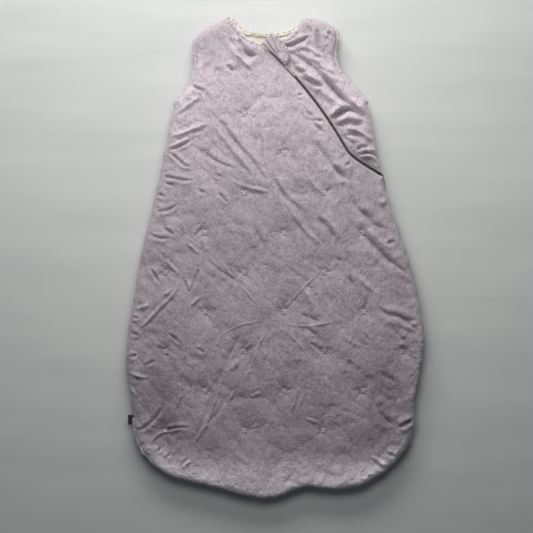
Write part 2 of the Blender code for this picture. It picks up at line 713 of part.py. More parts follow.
flap_pivot = pivot("flap_fold", Vector((*FOLD_TOP, FOLD_AXIS_HEIGHT)), Vector((*fold_along, 0)))
slider_pivot = pivot("slider_travel", Vector((*ZIP_CENTRE, ZIP_HEIGHT)), Vector((0, 0, -1)))
pull_pivot = pivot("pull_flip", slider_frame() @ LUG_MIDDLE, -slider_frame().col[1].xyz, slider_pivot)
guard_low = zip_plan_point(*GUARD_PLAN_MM[3])
guard_top = zip_plan_point(*GUARD_PLAN_MM[4])
guard_height = TOTAL_HEIGHT + GAP + GUARD_THICK
guard_pivot = pivot("guard_fold", Vector((*guard_low, guard_height)), Vector((*(guard_top - guard_low), 0)))

make_panels()
make_armhole_bindings()
make_neck()
make_chain()
make_slider()
make_pull()
make_guard()
make_wind_flap()
make_tufts()
make_label()
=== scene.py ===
"""Looks of the quilted baby sleeping bag: padded velour panels, linings, zip, guard and stitched crosses.

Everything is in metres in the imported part's frame: +Z up, +Y towards the head end, front of the bag upwards.
"""

import json
from math import atan2, cos, pi, radians, sin

import bmesh
import bpy
import numpy as np
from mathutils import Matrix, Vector, geometry
from mathutils.bvhtree import BVHTree
from mathutils.kdtree import KDTree


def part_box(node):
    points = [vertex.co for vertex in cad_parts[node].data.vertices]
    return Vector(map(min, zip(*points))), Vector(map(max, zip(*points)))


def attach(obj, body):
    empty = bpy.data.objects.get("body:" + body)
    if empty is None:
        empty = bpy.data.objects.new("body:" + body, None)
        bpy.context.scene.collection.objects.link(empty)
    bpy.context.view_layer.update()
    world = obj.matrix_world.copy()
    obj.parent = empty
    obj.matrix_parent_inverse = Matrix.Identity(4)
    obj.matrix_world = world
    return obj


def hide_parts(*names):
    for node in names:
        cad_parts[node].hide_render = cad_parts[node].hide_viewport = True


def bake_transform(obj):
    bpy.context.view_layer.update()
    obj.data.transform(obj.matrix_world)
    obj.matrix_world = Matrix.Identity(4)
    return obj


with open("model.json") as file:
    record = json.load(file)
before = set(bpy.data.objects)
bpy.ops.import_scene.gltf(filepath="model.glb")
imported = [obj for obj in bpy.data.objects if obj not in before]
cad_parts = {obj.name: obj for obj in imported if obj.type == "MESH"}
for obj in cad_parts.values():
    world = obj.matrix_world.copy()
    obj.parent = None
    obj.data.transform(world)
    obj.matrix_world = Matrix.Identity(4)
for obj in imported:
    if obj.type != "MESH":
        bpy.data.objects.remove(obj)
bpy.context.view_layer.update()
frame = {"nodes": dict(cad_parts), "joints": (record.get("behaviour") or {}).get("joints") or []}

MM = 0.001
TUFT_NAMES = sorted(name for name in frame["nodes"] if name.startswith("tuft_cross_"))
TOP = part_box("flap_outer")[1].z                 # the front's upper face
MIDDLE = TOP / 2
FLOOR_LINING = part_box("back_lining")[0].z       # undersides of the linings, seen from the inside space
ROOF_LINING = TOP - FLOOR_LINING
OPEN_HALF = 4.1 * MM                            # half the height of the open edge at neck, armholes and zip

# Lattices: distance between mesh points on the panels, on the simulated cloth and on the linings.
FINE = 2.2 * MM
COARSE = 6.0 * MM
LINING_STEP = 5.0 * MM
RIM_RINGS = (0.5 * MM, 1.4 * MM, 2.8 * MM, 4.6 * MM)

# Zip: the arc of the chain over the chest, about the slider's travel axis, and its tail to the side seam.
ZIP_CENTRE = np.array(next(j["pos_m"] for j in frame["joints"] if j["name"] == "slider_travel")[:2])
ZIP_START = np.array((-22.6, 396.0)) * MM
ZIP_ARC_END = np.array((132.0, 202.0)) * MM
ZIP_EXIT = np.array((205.0, 149.0)) * MM
ZIP_EXIT_FROM = np.array((166.0, 176.0)) * MM
ZIP_RADIUS = float(np.linalg.norm(ZIP_START - ZIP_CENTRE))
TAIL_BENDS = (24 * MM, 22 * MM)
TAIL_LENGTH = 90 * MM
ZIP_STEP = 3 * MM
LEFT_LIP = -1.2 * MM                            # lips of the slit, across the zip from its middle
RIGHT_LIP = 3.3 * MM
LIP_HEIGHT = 37.2 * MM

FOLD = next(j for j in frame["joints"] if j["name"] == "flap_fold")
FOLD_TOP = np.array(FOLD["pos_m"][:2])
FOLD_ALONG = np.array(FOLD["axis"][:2])
FOLD_ACROSS = np.array((-FOLD_ALONG[1], FOLD_ALONG[0]))

# Points along the neckline, from the shoulder to the zip on the left and from the zip to the shoulder.
NECK_LEFT_MM = [(-87, 446), (-78, 432), (-62, 414), (-50, 404)]
NECK_RIGHT_MM = [(-14, 408), (-6, 410), (10, 405), (28, 411), (42, 426)]


# ---------------------------------------------------------------- plan geometry

def metres(points_mm):
    return np.array(points_mm, float) * MM


def unit(vectors):
    """Rows scaled to a length of 1."""
    return vectors / np.linalg.norm(vectors, axis=1)[:, None]


def left_of(headings):
    """Plan directions a quarter turn anticlockwise from the headings."""
    return np.stack([-headings[:, 1], headings[:, 0]], axis=1)


def around(loop):
    """Headings along a closed loop at its points."""
    return unit(np.roll(loop, -1, axis=0) - np.roll(loop, 1, axis=0))


def outline_of(node, height):
    """The widest closed loop of a CAD node's edges at one height, clockwise from the neck's right side."""
    mesh = frame["nodes"][node].data
    places = {}
    links = {}
    for edge in mesh.edges:
        ends = [mesh.vertices[i].co for i in edge.vertices]
        if max(abs(end.z - height) for end in ends) > 0.05 * MM:
            continue
        keys = [(round(end.x / MM, 1), round(end.y / MM, 1)) for end in ends]
        for key, end in zip(keys, ends):
            places[key] = (end.x, end.y)
        links.setdefault(keys[0], set()).add(keys[1])
        links.setdefault(keys[1], set()).add(keys[0])
    best = []
    left = set(places)
    while left:
        walk = [left.pop()]
        while True:
            following = [key for key in links[walk[-1]] if key in left]
            if not following:
                break
            walk.append(following[0])
            left.discard(following[0])
        width = np.ptp([key[0] for key in walk])
        if len(walk) > 20 and width > np.ptp([key[0] for key in best] or [0]):
            best = walk
    loop = np.array([places[key] for key in best])
    if area_of(loop) > 0:
        loop = loop[::-1]
    start = int(np.argmin(np.linalg.norm(loop - metres((42, 432)), axis=1)))
    return np.roll(loop, -start, axis=0)


def area_of(loop):
    """Signed area, positive for a loop that runs anticlockwise."""
    x, y = loop[:, 0], loop[:, 1]
    return float((x * np.roll(y, -1) - np.roll(x, -1) * y).sum() / 2)


def spaced(points, step, closed=False):
    """The line again with points about one step apart."""
    line = np.vstack([points, points[:1]]) if closed else np.asarray(points, float)
    along = np.concatenate([[0], np.cumsum(np.linalg.norm(np.diff(line, axis=0), axis=1))])
    count = max(2, int(round(along[-1] / step)) + 1)
    at = np.linspace(0, along[-1], count)
    result = np.stack([np.interp(at, along, line[:, k]) for k in range(line.shape[1])], axis=1)
    return result[:-1] if closed else result


def curve_through(points, steps=8):
    """An open Catmull-Rom curve through the points."""
    p = np.asarray(points, float)
    p = np.vstack([2 * p[0] - p[1], p, 2 * p[-1] - p[-2]])
    t = np.linspace(0, 1, steps, endpoint=False)[:, None]
    parts = []
    for a, b, c, d in zip(p[:-3], p[1:-2], p[2:-1], p[3:]):
        parts.append(0.5 * (2 * b + (c - a) * t + (2 * a - 5 * b + 4 * c - d) * t ** 2
                            + (3 * b - a - 3 * c + d) * t ** 3))
    return np.vstack([*parts, p[-2:-1]])


def zip_line(offset):
    """A line along the zip on the chest at an offset across it, from the neck to the side seam."""
    first = atan2(*(ZIP_START - ZIP_CENTRE)[::-1])
    last = atan2(*(ZIP_ARC_END - ZIP_CENTRE)[::-1])
    angles = np.linspace(first, last, int((first - last) * ZIP_RADIUS / ZIP_STEP))
    arc = ZIP_CENTRE + ZIP_RADIUS * np.stack([np.cos(angles), np.sin(angles)], axis=1)
    along = np.array((sin(last), -cos(last)))
    heading = (ZIP_EXIT - ZIP_EXIT_FROM) / np.linalg.norm(ZIP_EXIT - ZIP_EXIT_FROM)
    p0, p1, p2, p3 = arc[-1], arc[-1] + along * TAIL_BENDS[0], ZIP_EXIT - heading * TAIL_BENDS[1], ZIP_EXIT
    t = np.linspace(0, 1, int(TAIL_LENGTH / ZIP_STEP))[1:, None]
    tail = p0 * (1 - t) ** 3 + 3 * p1 * t * (1 - t) ** 2 + 3 * p2 * t ** 2 * (1 - t) + p3 * t ** 3
    line = np.vstack([arc, tail])
    return line + left_of(unit(np.gradient(line, axis=0))) * offset


def inside(points, loop):
    """Whether each point is inside a closed loop."""
    result = np.zeros(len(points), bool)
    x, y = points[:, 0], points[:, 1]
    for (ax, ay), (bx, by) in zip(loop, np.roll(loop, -1, axis=0)):
        if ay == by:
            continue
        hit = ((ay > y) != (by > y)) & (x < (bx - ax) * (y - ay) / (by - ay) + ax)
        result ^= hit
    return result


def to_line(points, line):
    """Distance of each point from a closed line, and the index of the line's nearest point."""
    tree = KDTree(len(line))
    for i, (x, y) in enumerate(line):
        tree.insert((x, y, 0), i)
    tree.balance()
    near = np.array([tree.find((x, y, 0))[1] for x, y in points], int)
    best = np.full(len(points), np.inf)
    for step in (-1, 1):
        other = (near + step) % len(line)
        span = line[other] - line[near]
        share = ((points - line[near]) * span).sum(1) / np.maximum((span ** 2).sum(1), 1e-15)
        share = np.clip(share, 0, 1)[:, None]
        best = np.minimum(best, np.linalg.norm(points - line[near] - span * share, axis=1))
    return best, near


def lattice(loop, step, rings=()):
    """Plan points and triangles of a panel. The loop's points come first; rings follow it closely inside."""
    inward = -left_of(around(loop))
    if area_of(loop) > 0:
        inward = -inward
    extra = []
    for distance in rings:
        ring = loop + inward * distance
        far, _ = to_line(ring, loop)
        keep = (far > 0.9 * distance) & inside(ring, loop)
        extra.append(ring[keep])
    low, high = loop.min(0), loop.max(0)
    rows = np.arange(low[1], high[1], step * 0.866)
    columns = np.arange(low[0], high[0], step)
    grid = np.array([(x + (i % 2) * step / 2, y) for i, y in enumerate(rows) for x in columns])
    grid = grid[inside(grid, loop)]
    far, _ = to_line(grid, loop)
    grid = grid[far > (rings[-1] if rings else 0) + 0.55 * step]
    points = np.vstack([loop, *extra, grid])
    edges = [(i, (i + 1) % len(loop)) for i in range(len(loop))]
    made = geometry.delaunay_2d_cdt([Vector(p) for p in points], edges, [], 1, 1e-6)
    places = np.array([tuple(v) for v in made[0]])
    triangles = np.array([tuple(f) for f in made[2]], int)
    first = {}
    for new, olds in enumerate(made[3]):
        for old in olds:
            first[old] = new
    border = np.array([first[i] for i in range(len(loop))], int)
    a, b, c = (places[triangles[:, i]] for i in range(3))
    turn = (b - a)[:, 0] * (c - a)[:, 1] - (b - a)[:, 1] * (c - a)[:, 0]
    triangles[turn < 0] = triangles[turn < 0][:, ::-1]
    return places, triangles, border


# ---------------------------------------------------------------- fields over the plan

def smooth_step(x):
    """0 below 0, 1 above 1 and a smooth rise between."""
    x = np.clip(x, 0, 1)
    return x * x * (3 - 2 * x)


def ripple(points, size, seed, stretch=1.0, heading=0.0):
    """Gradient noise from about -1 to 1 with features of the given size, longer along the heading."""
    table = np.random.default_rng(seed)
    turn = np.array([[cos(heading), -sin(heading)], [sin(heading), cos(heading)]])
    q = points @ turn / np.array((size * stretch, size)) + 100
    cell = np.floor(q).astype(int)
    f = q - cell
    slope = table.uniform(0, 2 * pi, (256, 256))
    total = 0
    fade = f ** 3 * (f * (6 * f - 15) + 10)
    for dx in (0, 1):
        for dy in (0, 1):
            angle = slope[(cell[:, 0] + dx) % 256, (cell[:, 1] + dy) % 256]
            value = np.cos(angle) * (f[:, 0] - dx) + np.sin(angle) * (f[:, 1] - dy)
            weight = (fade[:, 0] if dx else 1 - fade[:, 0]) * (fade[:, 1] if dy else 1 - fade[:, 1])
            total = total + value * weight
    return total * 1.5


def both_ways(points, size, seed):
    """Noise along x and along y."""
    return np.stack([ripple(points, size, seed), ripple(points, size, seed + 1)], axis=1)


def stroke(points, line_mm, width, kind="crease"):
    """Height pattern of one fold along a line: about 1 or -1 at its strongest, fading at both ends."""
    line = curve_through(metres(line_mm), 6)
    reach = 9.5 * width
    near = ((points > line.min(0) - reach) & (points < line.max(0) + reach)).all(1)
    result = np.zeros(len(points))
    if not near.any():
        return result
    p = points[near]
    along = np.concatenate([[0], np.cumsum(np.linalg.norm(np.diff(line, axis=0), axis=1))])
    best = np.full(len(p), np.inf)
    side = np.zeros(len(p))
    at = np.zeros(len(p))
    for i in range(len(line) - 1):
        span = line[i + 1] - line[i]
        offset = p - line[i]
        share = np.clip(offset @ span / (span @ span), 0, 1)
        gap = offset - share[:, None] * span
        far = np.linalg.norm(gap, axis=1)
        closer = far < best
        best[closer] = far[closer]
        cross = span[0] * offset[:, 1] - span[1] * offset[:, 0]
        side[closer] = np.sign(cross)[closer]
        at[closer] = (along[i] + share * np.linalg.norm(span))[closer] / along[-1]
    fade = smooth_step(np.minimum(at, 1 - at) / 0.30)
    x = best / (width * (0.45 + 0.55 * fade)) * side
    uneven = 1 + 0.35 * np.sin(at * 9 + line_mm[0][0])
    if kind == "crease":
        form = -np.exp(-0.95 * np.abs(x)) * uneven + 0.46 * np.exp(-((np.abs(x) - 4.0) / 2.4) ** 2)
        form += 0.2 * np.exp(-((x - 2.2) / 1.2) ** 2)
    else:
        form = np.exp(-1.1 * np.abs(x) ** 1.4) * uneven - 0.25 * np.exp(-((np.abs(x) - 2.2) / 1.0) ** 2)
    result[near] = form * fade
    return result


TUFTS = np.array([((low + high) / 2)[:2] for low, high in (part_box(name) for name in TUFT_NAMES)])

TUFT_NARROW, TUFT_WIDE = 8 * MM, 27 * MM        # the dimple at a cross and the wider hollow round it
TUFT_REACH = 90 * MM
TUFT_CREASES = 6


def tuft_pull(points, seed):
    """How far the crosses draw the cloth in: 1 at a cross, with short creases running out from it."""
    table = np.random.default_rng(seed)
    pull = np.zeros(len(points))
    for site in TUFTS:
        offset = points - site
        far = np.linalg.norm(offset, axis=1)
        near = far < TUFT_REACH
        d = far[near]
        angle = np.arctan2(offset[near, 1], offset[near, 0])
        value = 0.62 * np.exp(-(d / TUFT_NARROW) ** 2) + 0.38 * np.exp(-(d / TUFT_WIDE) ** 2)
        for _ in range(TUFT_CREASES):
            heading = table.uniform(-pi, pi)
            length = table.uniform(14, 42) * MM
            width = table.uniform(1.8, 3.2) * MM
            bend = table.uniform(-6, 6)
            turn = (angle - heading - bend * d + pi) % (2 * pi) - pi
            sideways = d * np.sin(np.clip(turn, -1.4, 1.4))
            out = smooth_step((d - 2 * MM) / (6 * MM))
            out = out * (1 - smooth_step((d - 0.4 * length) / (0.6 * length)))
            value += 0.22 * out * np.exp(-(sideways / width) ** 2) * (np.abs(turn) < 1.4)
        pull[near] = np.maximum(pull[near], value)
    return pull


# ---------------------------------------------------------------- folds of the cloth, in mm on the plan

# (depth, half-width, points). Creases run down into the cloth and ridges stand up from it.
CREASES_MM = [
    # left strap and chest
    (6.0, 8.0, [(-68, 412), (-60, 392), (-50, 379), (-30, 376)]), (3.5, 4.0, [(-73, 421), (-60, 411)]),
    (2.4, 4.5, [(-88, 414), (-68, 384), (-55, 375)]), (3.2, 4.0, [(-93, 360), (-85, 354), (-76, 346)]),
    (1.4, 6.0, [(-111, 356), (-105, 344)]), (1.6, 4.5, [(-134, 380), (-130, 345), (-129, 310)]),
    (2.6, 3.6, [(-160, 323), (-145, 315), (-131, 309)]),
    (2.2, 5.5, [(-128, 277), (-100, 250), (-73, 214), (-38, 174), (-24, 152), (0, 133)]),
    (1.8, 2.6, [(-39, 245), (-24, 216), (-22, 182), (-10, 150), (2, 140)]),
    (1.6, 7.0, [(26, 198), (48, 164), (62, 140)]), (2.4, 3.6, [(64, 262), (78, 244), (94, 230)]),
    (1.6, 2.6, [(40, 301), (52, 305)]), (1.8, 3.2, [(51, 285), (60, 270), (72, 262)]),
    (2.2, 7.5, [(66, 224), (92, 190), (116, 158)]),
    # fan of folds on the left side
    (1.8, 3.4, [(-187, 272), (-168, 285), (-150, 298)]), (1.7, 3.2, [(-181, 225), (-152, 234), (-132, 236)]),
    (2.8, 2.8, [(-198, 199), (-172, 210), (-152, 221)]),
    (2.6, 3.0, [(-202, 196), (-186, 187), (-172, 174), (-154, 166)]),
    (1.7, 4.0, [(-155, 206), (-132, 194), (-107, 178), (-70, 162)]),
    (2.3, 3.2, [(-214, 153), (-171, 144), (-148, 144)]), (1.8, 2.8, [(-206, 138), (-188, 134)]),
    (2.2, 3.6, [(-142, 126), (-130, 119)]), (1.8, 3.0, [(-112, 156), (-100, 149)]),
    (2.2, 3.2, [(-108, 123), (-96, 110), (-86, 98)]), (2.0, 3.0, [(-222, 119), (-204, 113)]),
    (2.2, 3.4, [(-224, 84), (-198, 89), (-180, 101)]), (2.0, 3.2, [(-237, 43), (-214, 36), (-196, 35)]),
    (2.2, 3.4, [(-208, 56), (-190, 42)]), (1.8, 3.0, [(-150, 39), (-135, 58)]),
    (2.0, 6.0, [(-48, 73), (-30, 38), (-20, 14)]),
    # lower left
    (2.6, 3.0, [(-236, -16), (-210, -54)]), (1.8, 3.0, [(-217, 13), (-198, -12)]),
    (2.0, 3.0, [(-139, -14), (-150, -46), (-160, -69)]), (1.9, 3.0, [(-171, -39), (-160, -69)]),
    (1.0, 2.6, [(-162, -93), (-168, -130), (-169, -204), (-180, -250), (-185, -270)]),
    (2.2, 3.6, [(-137, 33), (-135, 6)]), (1.6, 4.0, [(-135, 3), (-106, -22), (-68, -47), (-45, -70)]),
    (1.7, 3.0, [(-204, -137), (-172, -164)]),
    (1.2, 7.0, [(-58, -132), (-79, -171), (-94, -204), (-115, -246)]),
    (1.8, 3.4, [(-150, -168), (-130, -178)]), (2.0, 3.2, [(-243, -202), (-222, -191)]),
    (2.4, 4.0, [(-262, -226), (-252, -228)]),
    (2.2, 3.6, [(-206, -264), (-214, -289), (-242, -317), (-264, -325)]),
    (2.6, 2.8, [(-215, -319), (-202, -322), (-181, -318), (-154, -318)]),
    (1.0, 3.6, [(-112, -243), (-126, -282), (-140, -318), (-152, -346)]),
    (0.9, 3.4, [(-92, -252), (-104, -286), (-136, -322)]), (2.2, 3.0, [(-268, -110), (-254, -114)]),
    (2.0, 3.0, [(-270, -140), (-252, -146)]), (2.2, 3.0, [(-274, -186), (-256, -182)]),
    (2.2, 2.8, [(-172, -386), (-164, -374)]), (2.2, 2.6, [(-206, -378), (-196, -366)]),
    (2.0, 2.6, [(-222, -366), (-212, -354)]),
    # right half
    (2.0, 3.4, [(66, 258), (82, 255), (92, 255)]), (1.9, 2.8, [(120, 204), (136, 199)]),
    (1.9, 2.8, [(126, 191), (142, 193)]), (2.0, 3.2, [(128, 168), (142, 178)]),
    (4.2, 6.0, [(104, 176), (120, 158), (140, 141)]), (1.8, 6.0, [(140, 140), (148, 100), (162, 84)]),
    (3.4, 7.5, [(150, 93), (170, 78), (184, 62), (212, 50)]),
    (4.6, 6.5, [(158, 50), (176, 31), (196, 10), (216, -8), (242, -28), (256, -38)]),
    (2.6, 4.0, [(206, 25), (226, 31)]),
    (3.6, 5.5, [(190, -88), (206, -104), (228, -109), (248, -118), (270, -114)]),
    (2.8, 3.2, [(245, -121), (263, -133)]), (2.8, 4.0, [(234, -150), (242, -154)]),
    (2.4, 9.0, [(76, 76), (102, 50), (112, 28)]), (2.0, 5.5, [(116, 1), (124, -10)]),
    (2.4, 8.0, [(130, -31), (148, -54), (156, -64)]), (1.8, 6.5, [(44, -104), (66, -114), (86, -121)]),
    (1.6, 4.0, [(59, -131), (77, -146)]), (1.8, 3.4, [(62, -156), (86, -174), (94, -183)]),
    (1.4, 3.0, [(160, -136), (180, -161)]), (1.9, 6.0, [(137, -189), (145, -214)]),
    (1.6, 6.0, [(195, -213), (228, -236)]), (2.6, 7.0, [(190, -287), (207, -302), (222, -317)]),
    (4.6, 4.2, [(228, -318), (246, -310), (260, -301)]), (2.2, 3.2, [(205, -364), (230, -376)]),
    (2.2, 3.2, [(190, -384), (205, -400)]), (2.0, 3.0, [(173, -407), (185, -416)]),
    (2.0, 3.0, [(160, -414), (168, -424)]), (1.6, 7.0, [(-9, 168), (11, 122), (49, 82), (64, 60)]),
    (1.4, 5.0, [(14, 104), (38, 66), (66, 30)]),
]
RIDGES_MM = [
    (2.0, 4.0, [(-75, 382), (-40, 348)]), (1.4, 3.0, [(-31, 360), (-16, 309)]),
    (2.4, 4.5, [(-192, 264), (-164, 284), (-134, 304)]),
    (2.4, 5.0, [(-202, 225), (-172, 231), (-147, 242), (-120, 251)]),
    (2.0, 3.6, [(-204, 202), (-176, 214), (-156, 226)]),
    (1.6, 5.0, [(-118, 250), (-92, 218), (-58, 176), (-36, 150)]),
    (1.5, 4.0, [(-86, 144), (-45, 129), (-4, 121)]),
    (2.6, 3.4, [(-175, -46), (-194, -74), (-214, -93), (-237, -118), (-259, -138)]),
    (1.8, 3.0, [(-217, 12), (-199, -10), (-171, -40)]), (1.8, 3.0, [(-164, 27), (-139, 5)]),
    (2.0, 3.0, [(-160, -93), (-139, -72)]), (1.6, 3.4, [(-267, -99), (-228, -87)]),
    (1.6, 3.0, [(-209, -72), (-190, -59)]), (2.0, 3.2, [(-279, -213), (-247, -223), (-229, -221)]),
    (1.5, 2.0, [(-24, -148), (-28, -160)]), (1.7, 2.0, [(-11, -117), (-15, -166)]),
    (1.4, 5.0, [(-64, -188), (-86, -213)]), (2.0, 4.0, [(-279, -234), (-259, -262)]),
    (1.8, 2.2, [(-172, -247), (-187, -287)]),
    (1.8, 2.6, [(-239, -356), (-224, -336), (-205, -326), (-162, -318)]),
    (1.9, 2.6, [(-124, -307), (-139, -326), (-150, -352)]), (1.7, 2.6, [(-157, -379), (-175, -396)]),
    (1.6, 2.8, [(-73, -243), (-88, -272)]), (1.4, 3.0, [(-49, -262), (-24, -251)]),
    (1.8, 7.0, [(34, 177), (47, 164), (62, 148), (86, 121), (111, 100)]),
    (1.6, 5.5, [(78, 84), (104, 62), (120, 34)]), (2.4, 6.0, [(190, 106), (207, 100)]),
    (2.8, 7.0, [(206, -6), (230, -20), (262, -52)]), (1.9, 5.5, [(147, -29), (173, -54), (184, -70)]),
    (1.6, 6.5, [(41, -31), (54, -59), (71, -86), (86, -117)]), (2.2, 4.0, [(230, -160), (244, -166)]),
    (1.8, 1.9, [(45, -238), (38, -262), (30, -292)]), (1.4, 3.0, [(54, -299), (86, -311)]),
    (2.0, 4.0, [(177, -370), (216, -394)]), (1.4, 4.5, [(-2, 168), (14, 130), (44, 96)]),
    (1.5, 6.0, [(20, 92), (52, 56), (90, 20)]), (1.7, 7.0, [(164, 60), (196, 30), (222, 12)]),
    (1.8, 8.0, [(188, -262), (214, -282)]),
    # long thin wrinkles that spread from a point below the middle
    (1.2, 1.9, [(-6, -117), (-3, -150), (0, -193)]), (1.2, 1.9, [(-12, -122), (-36, -180), (-62, -249)]),
    (1.1, 1.8, [(2, -112), (44, -66), (94, -14)]), (1.1, 2.0, [(-14, -110), (-66, -50), (-132, 24)]),
    (1.2, 1.8, [(-165, -70), (-170, -160), (-169, -258)]),
    (1.3, 1.9, [(-85, -193), (-122, -296), (-150, -371)]), (1.3, 1.7, [(39, -290), (46, -274), (51, -258)]),
    (1.0, 1.8, [(8, -122), (60, -128), (126, -116)]), (1.0, 1.8, [(10, -130), (52, -170), (84, -226)]),
    (0.9, 1.8, [(-20, -118), (-70, -128), (-118, -158)]), (1.0, 1.8, [(-4, -104), (4, -40), (-14, 30)]),
    (0.9, 1.7, [(-26, -140), (-80, -200), (-104, -268)]), (1.0, 1.8, [(120, 60), (136, -10), (138, -80)]),
    (0.9, 1.8, [(-60, 300), (-40, 240), (-34, 190)]), (0.9, 1.8, [(-96, 330), (-84, 270), (-60, 216)]),
    (0.9, 1.7, [(-20, 330), (0, 270), (8, 226)]),
]
CHEST_CREASES_MM = [
    (4.2, 4.5, [(6, 396), (29, 396), (51, 405), (66, 414)]),
    (5.4, 6.0, [(21, 384), (46, 373), (70, 356), (96, 329), (122, 300), (148, 279), (176, 258)]),
    (3.2, 4.6, [(64, 372), (86, 352), (108, 340), (128, 330)]), (4.2, 4.6, [(52, 335), (68, 326), (92, 317)]),
    (5.6, 6.4, [(98, 254), (116, 266), (138, 275), (156, 268), (174, 256)]),
    (3.2, 5.0, [(112, 244), (138, 252), (164, 246)]), (2.8, 4.6, [(34, 356), (44, 348), (62, 344)]),
    (2.6, 5.2, [(128, 226), (150, 230), (172, 222)]), (3.0, 3.4, [(150, 198), (162, 206), (174, 206)]),
    (3.8, 3.0, [(156, 190), (172, 195), (188, 189), (196, 182)]), (2.2, 3.0, [(160, 182), (184, 182)]),
    (2.4, 4.2, [(79, 436), (83, 388), (97, 378)]), (2.6, 4.0, [(98, 424), (104, 412)]),
    (1.8, 5.0, [(112, 371), (124, 346)]), (1.6, 4.0, [(60, 436), (70, 414)]),
    (1.6, 4.5, [(112, 228), (138, 218), (152, 204)]),
]
CHEST_RIDGES_MM = [
    (3.2, 5.0, [(100, 260), (110, 270), (122, 280)]),
    (2.0, 4.5, [(128, 240), (152, 236), (173, 223), (188, 212)]),
    (2.6, 7.0, [(30, 372), (48, 352), (70, 330), (92, 304), (118, 286)]),
    (2.2, 6.0, [(74, 364), (98, 345), (126, 330), (150, 306)]),
    (2.0, 4.0, [(150, 186), (176, 188), (194, 176)]), (1.8, 5.0, [(92, 430), (100, 396), (112, 372)]),
    (2.0, 5.0, [(44, 392), (66, 388), (88, 372)]),
]


CREASE_WIDTH, CREASE_DEPTH = 0.50, 1.55         # shares of the listed widths, depths and heights
RIDGE_WIDTH, RIDGE_HEIGHT = 0.80, 1.6


def folds(points, creases, ridges):
    """Height of all the listed folds together, in metres."""
    total = np.zeros(len(points))
    for depth, width, line in creases:
        total += stroke(points, line, CREASE_WIDTH * width * MM) * CREASE_DEPTH * depth * MM
    for height, width, line in ridges:
        total += stroke(points, line, RIDGE_WIDTH * width * MM, "ridge") * RIDGE_HEIGHT * height * MM
    return total


def stray_folds(points, count, seed, low, high):
    """Small creases scattered between two corners of the plan, running mostly down to the right."""
    table = np.random.default_rng(seed)
    total = np.zeros(len(points))
    for _ in range(count):
        start = table.uniform(low, high)
        heading = table.normal(-1.0, 0.7)
        length = table.uniform(22, 75) * MM
        bend = table.normal(0, 0.35)
        steps = []
        for t in (0, 0.5, 1):
            turn = heading + bend * t
            steps.append(start + length * t * np.array((cos(turn), sin(turn))))
        kind = "crease" if table.random() < 0.55 else "ridge"
        form = stroke(points, np.array(steps) / MM, table.uniform(1.9, 4.2) * MM, kind)
        total += form * table.uniform(0.25, 0.95) * MM
    return total


def add_mesh(name, vertices, faces, smooth=True):
    """A new object in the scene from vertices and faces."""
    mesh = bpy.data.meshes.new(name)
    mesh.from_pydata(vertices, [], faces)
    if smooth:
        mesh.shade_smooth()
    obj = bpy.data.objects.new(name, mesh)
    bpy.context.scene.collection.objects.link(obj)
    return obj


def height_of(tree, points, beyond):
    """Height of a surface at plan points, and beyond where there is none."""
    hits = (tree.ray_cast(Vector((x, y, 1.0)), Vector((0, 0, -1)))[0] for x, y in points)
    return np.array([hit.z if hit else beyond for hit in hits])


# ---------------------------------------------------------------- cloth simulation

CLOTH_GROWTH = 0.022                            # how much too large the cloth is cut
CLOTH_PRESSURE = 3.0
CLOTH_FRAMES = 20


def swell(loop, seed):
    """A cloth sheet over a panel: stitched down at the rim and the crosses, cut a little large and blown up.

    Returns a function that gives the height the cloth gained, in metres, at plan points.
    """
    places, triangles, _ = lattice(loop, COARSE)
    far, _ = to_line(places, loop)
    start = 0.6 * MM * ripple(places, 18 * MM, seed)
    cloth = add_mesh("swell", np.column_stack([places, start]).tolist(), triangles.tolist())
    held = cloth.vertex_groups.new(name="held")
    held.add([int(i) for i in np.flatnonzero(far < 2 * MM)], 1.0, "REPLACE")
    for site in TUFTS:
        gap = np.linalg.norm(places - site, axis=1)
        held.add([int(i) for i in np.flatnonzero(gap < max(4.5 * MM, gap.min() + 0.1 * MM))], 1.0, "REPLACE")
    modifier = cloth.modifiers.new("cloth", "CLOTH")
    setup = modifier.settings
    setup.quality = 6
    setup.mass = 0.15
    setup.tension_stiffness = 12
    setup.compression_stiffness = 12
    setup.shear_stiffness = 5
    setup.bending_stiffness = 0.25
    setup.air_damping = 1.5
    setup.vertex_group_mass = "held"
    setup.shrink_min = -CLOTH_GROWTH
    setup.use_pressure = True
    setup.uniform_pressure_force = CLOTH_PRESSURE
    setup.effector_weights.gravity = 0
    modifier.collision_settings.use_collision = False
    modifier.point_cache.frame_start = 1
    modifier.point_cache.frame_end = CLOTH_FRAMES
    for number in range(1, CLOTH_FRAMES + 1):
        bpy.context.scene.frame_set(number)
    graph = bpy.context.evaluated_depsgraph_get()
    done = cloth.evaluated_get(graph).to_mesh()
    height = np.array([v.co.z for v in done.vertices])
    cloth.evaluated_get(graph).to_mesh_clear()
    bpy.data.objects.remove(cloth)
    bpy.context.scene.frame_set(1)
    tree = BVHTree.FromPolygons(np.column_stack([places, height]).tolist(), triangles.tolist())
    return lambda points: height_of(tree, points, 0.0)


# ---------------------------------------------------------------- panels

SEAM_CLEAR = 9 * MM                             # the zip's seam ends this far before the fold line
SIDE_X, HEM_Y = 0.15, -0.36                     # the seam's points are past one of these


def beside_armhole(points, node):
    """Which of the points are along the armhole that a CAD binding goes round."""
    low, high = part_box(node)
    x, y = points[:, 0], points[:, 1]
    return (x > low.x - MM) & (x < high.x + MM) & (y > low.y) & (y < high.y)


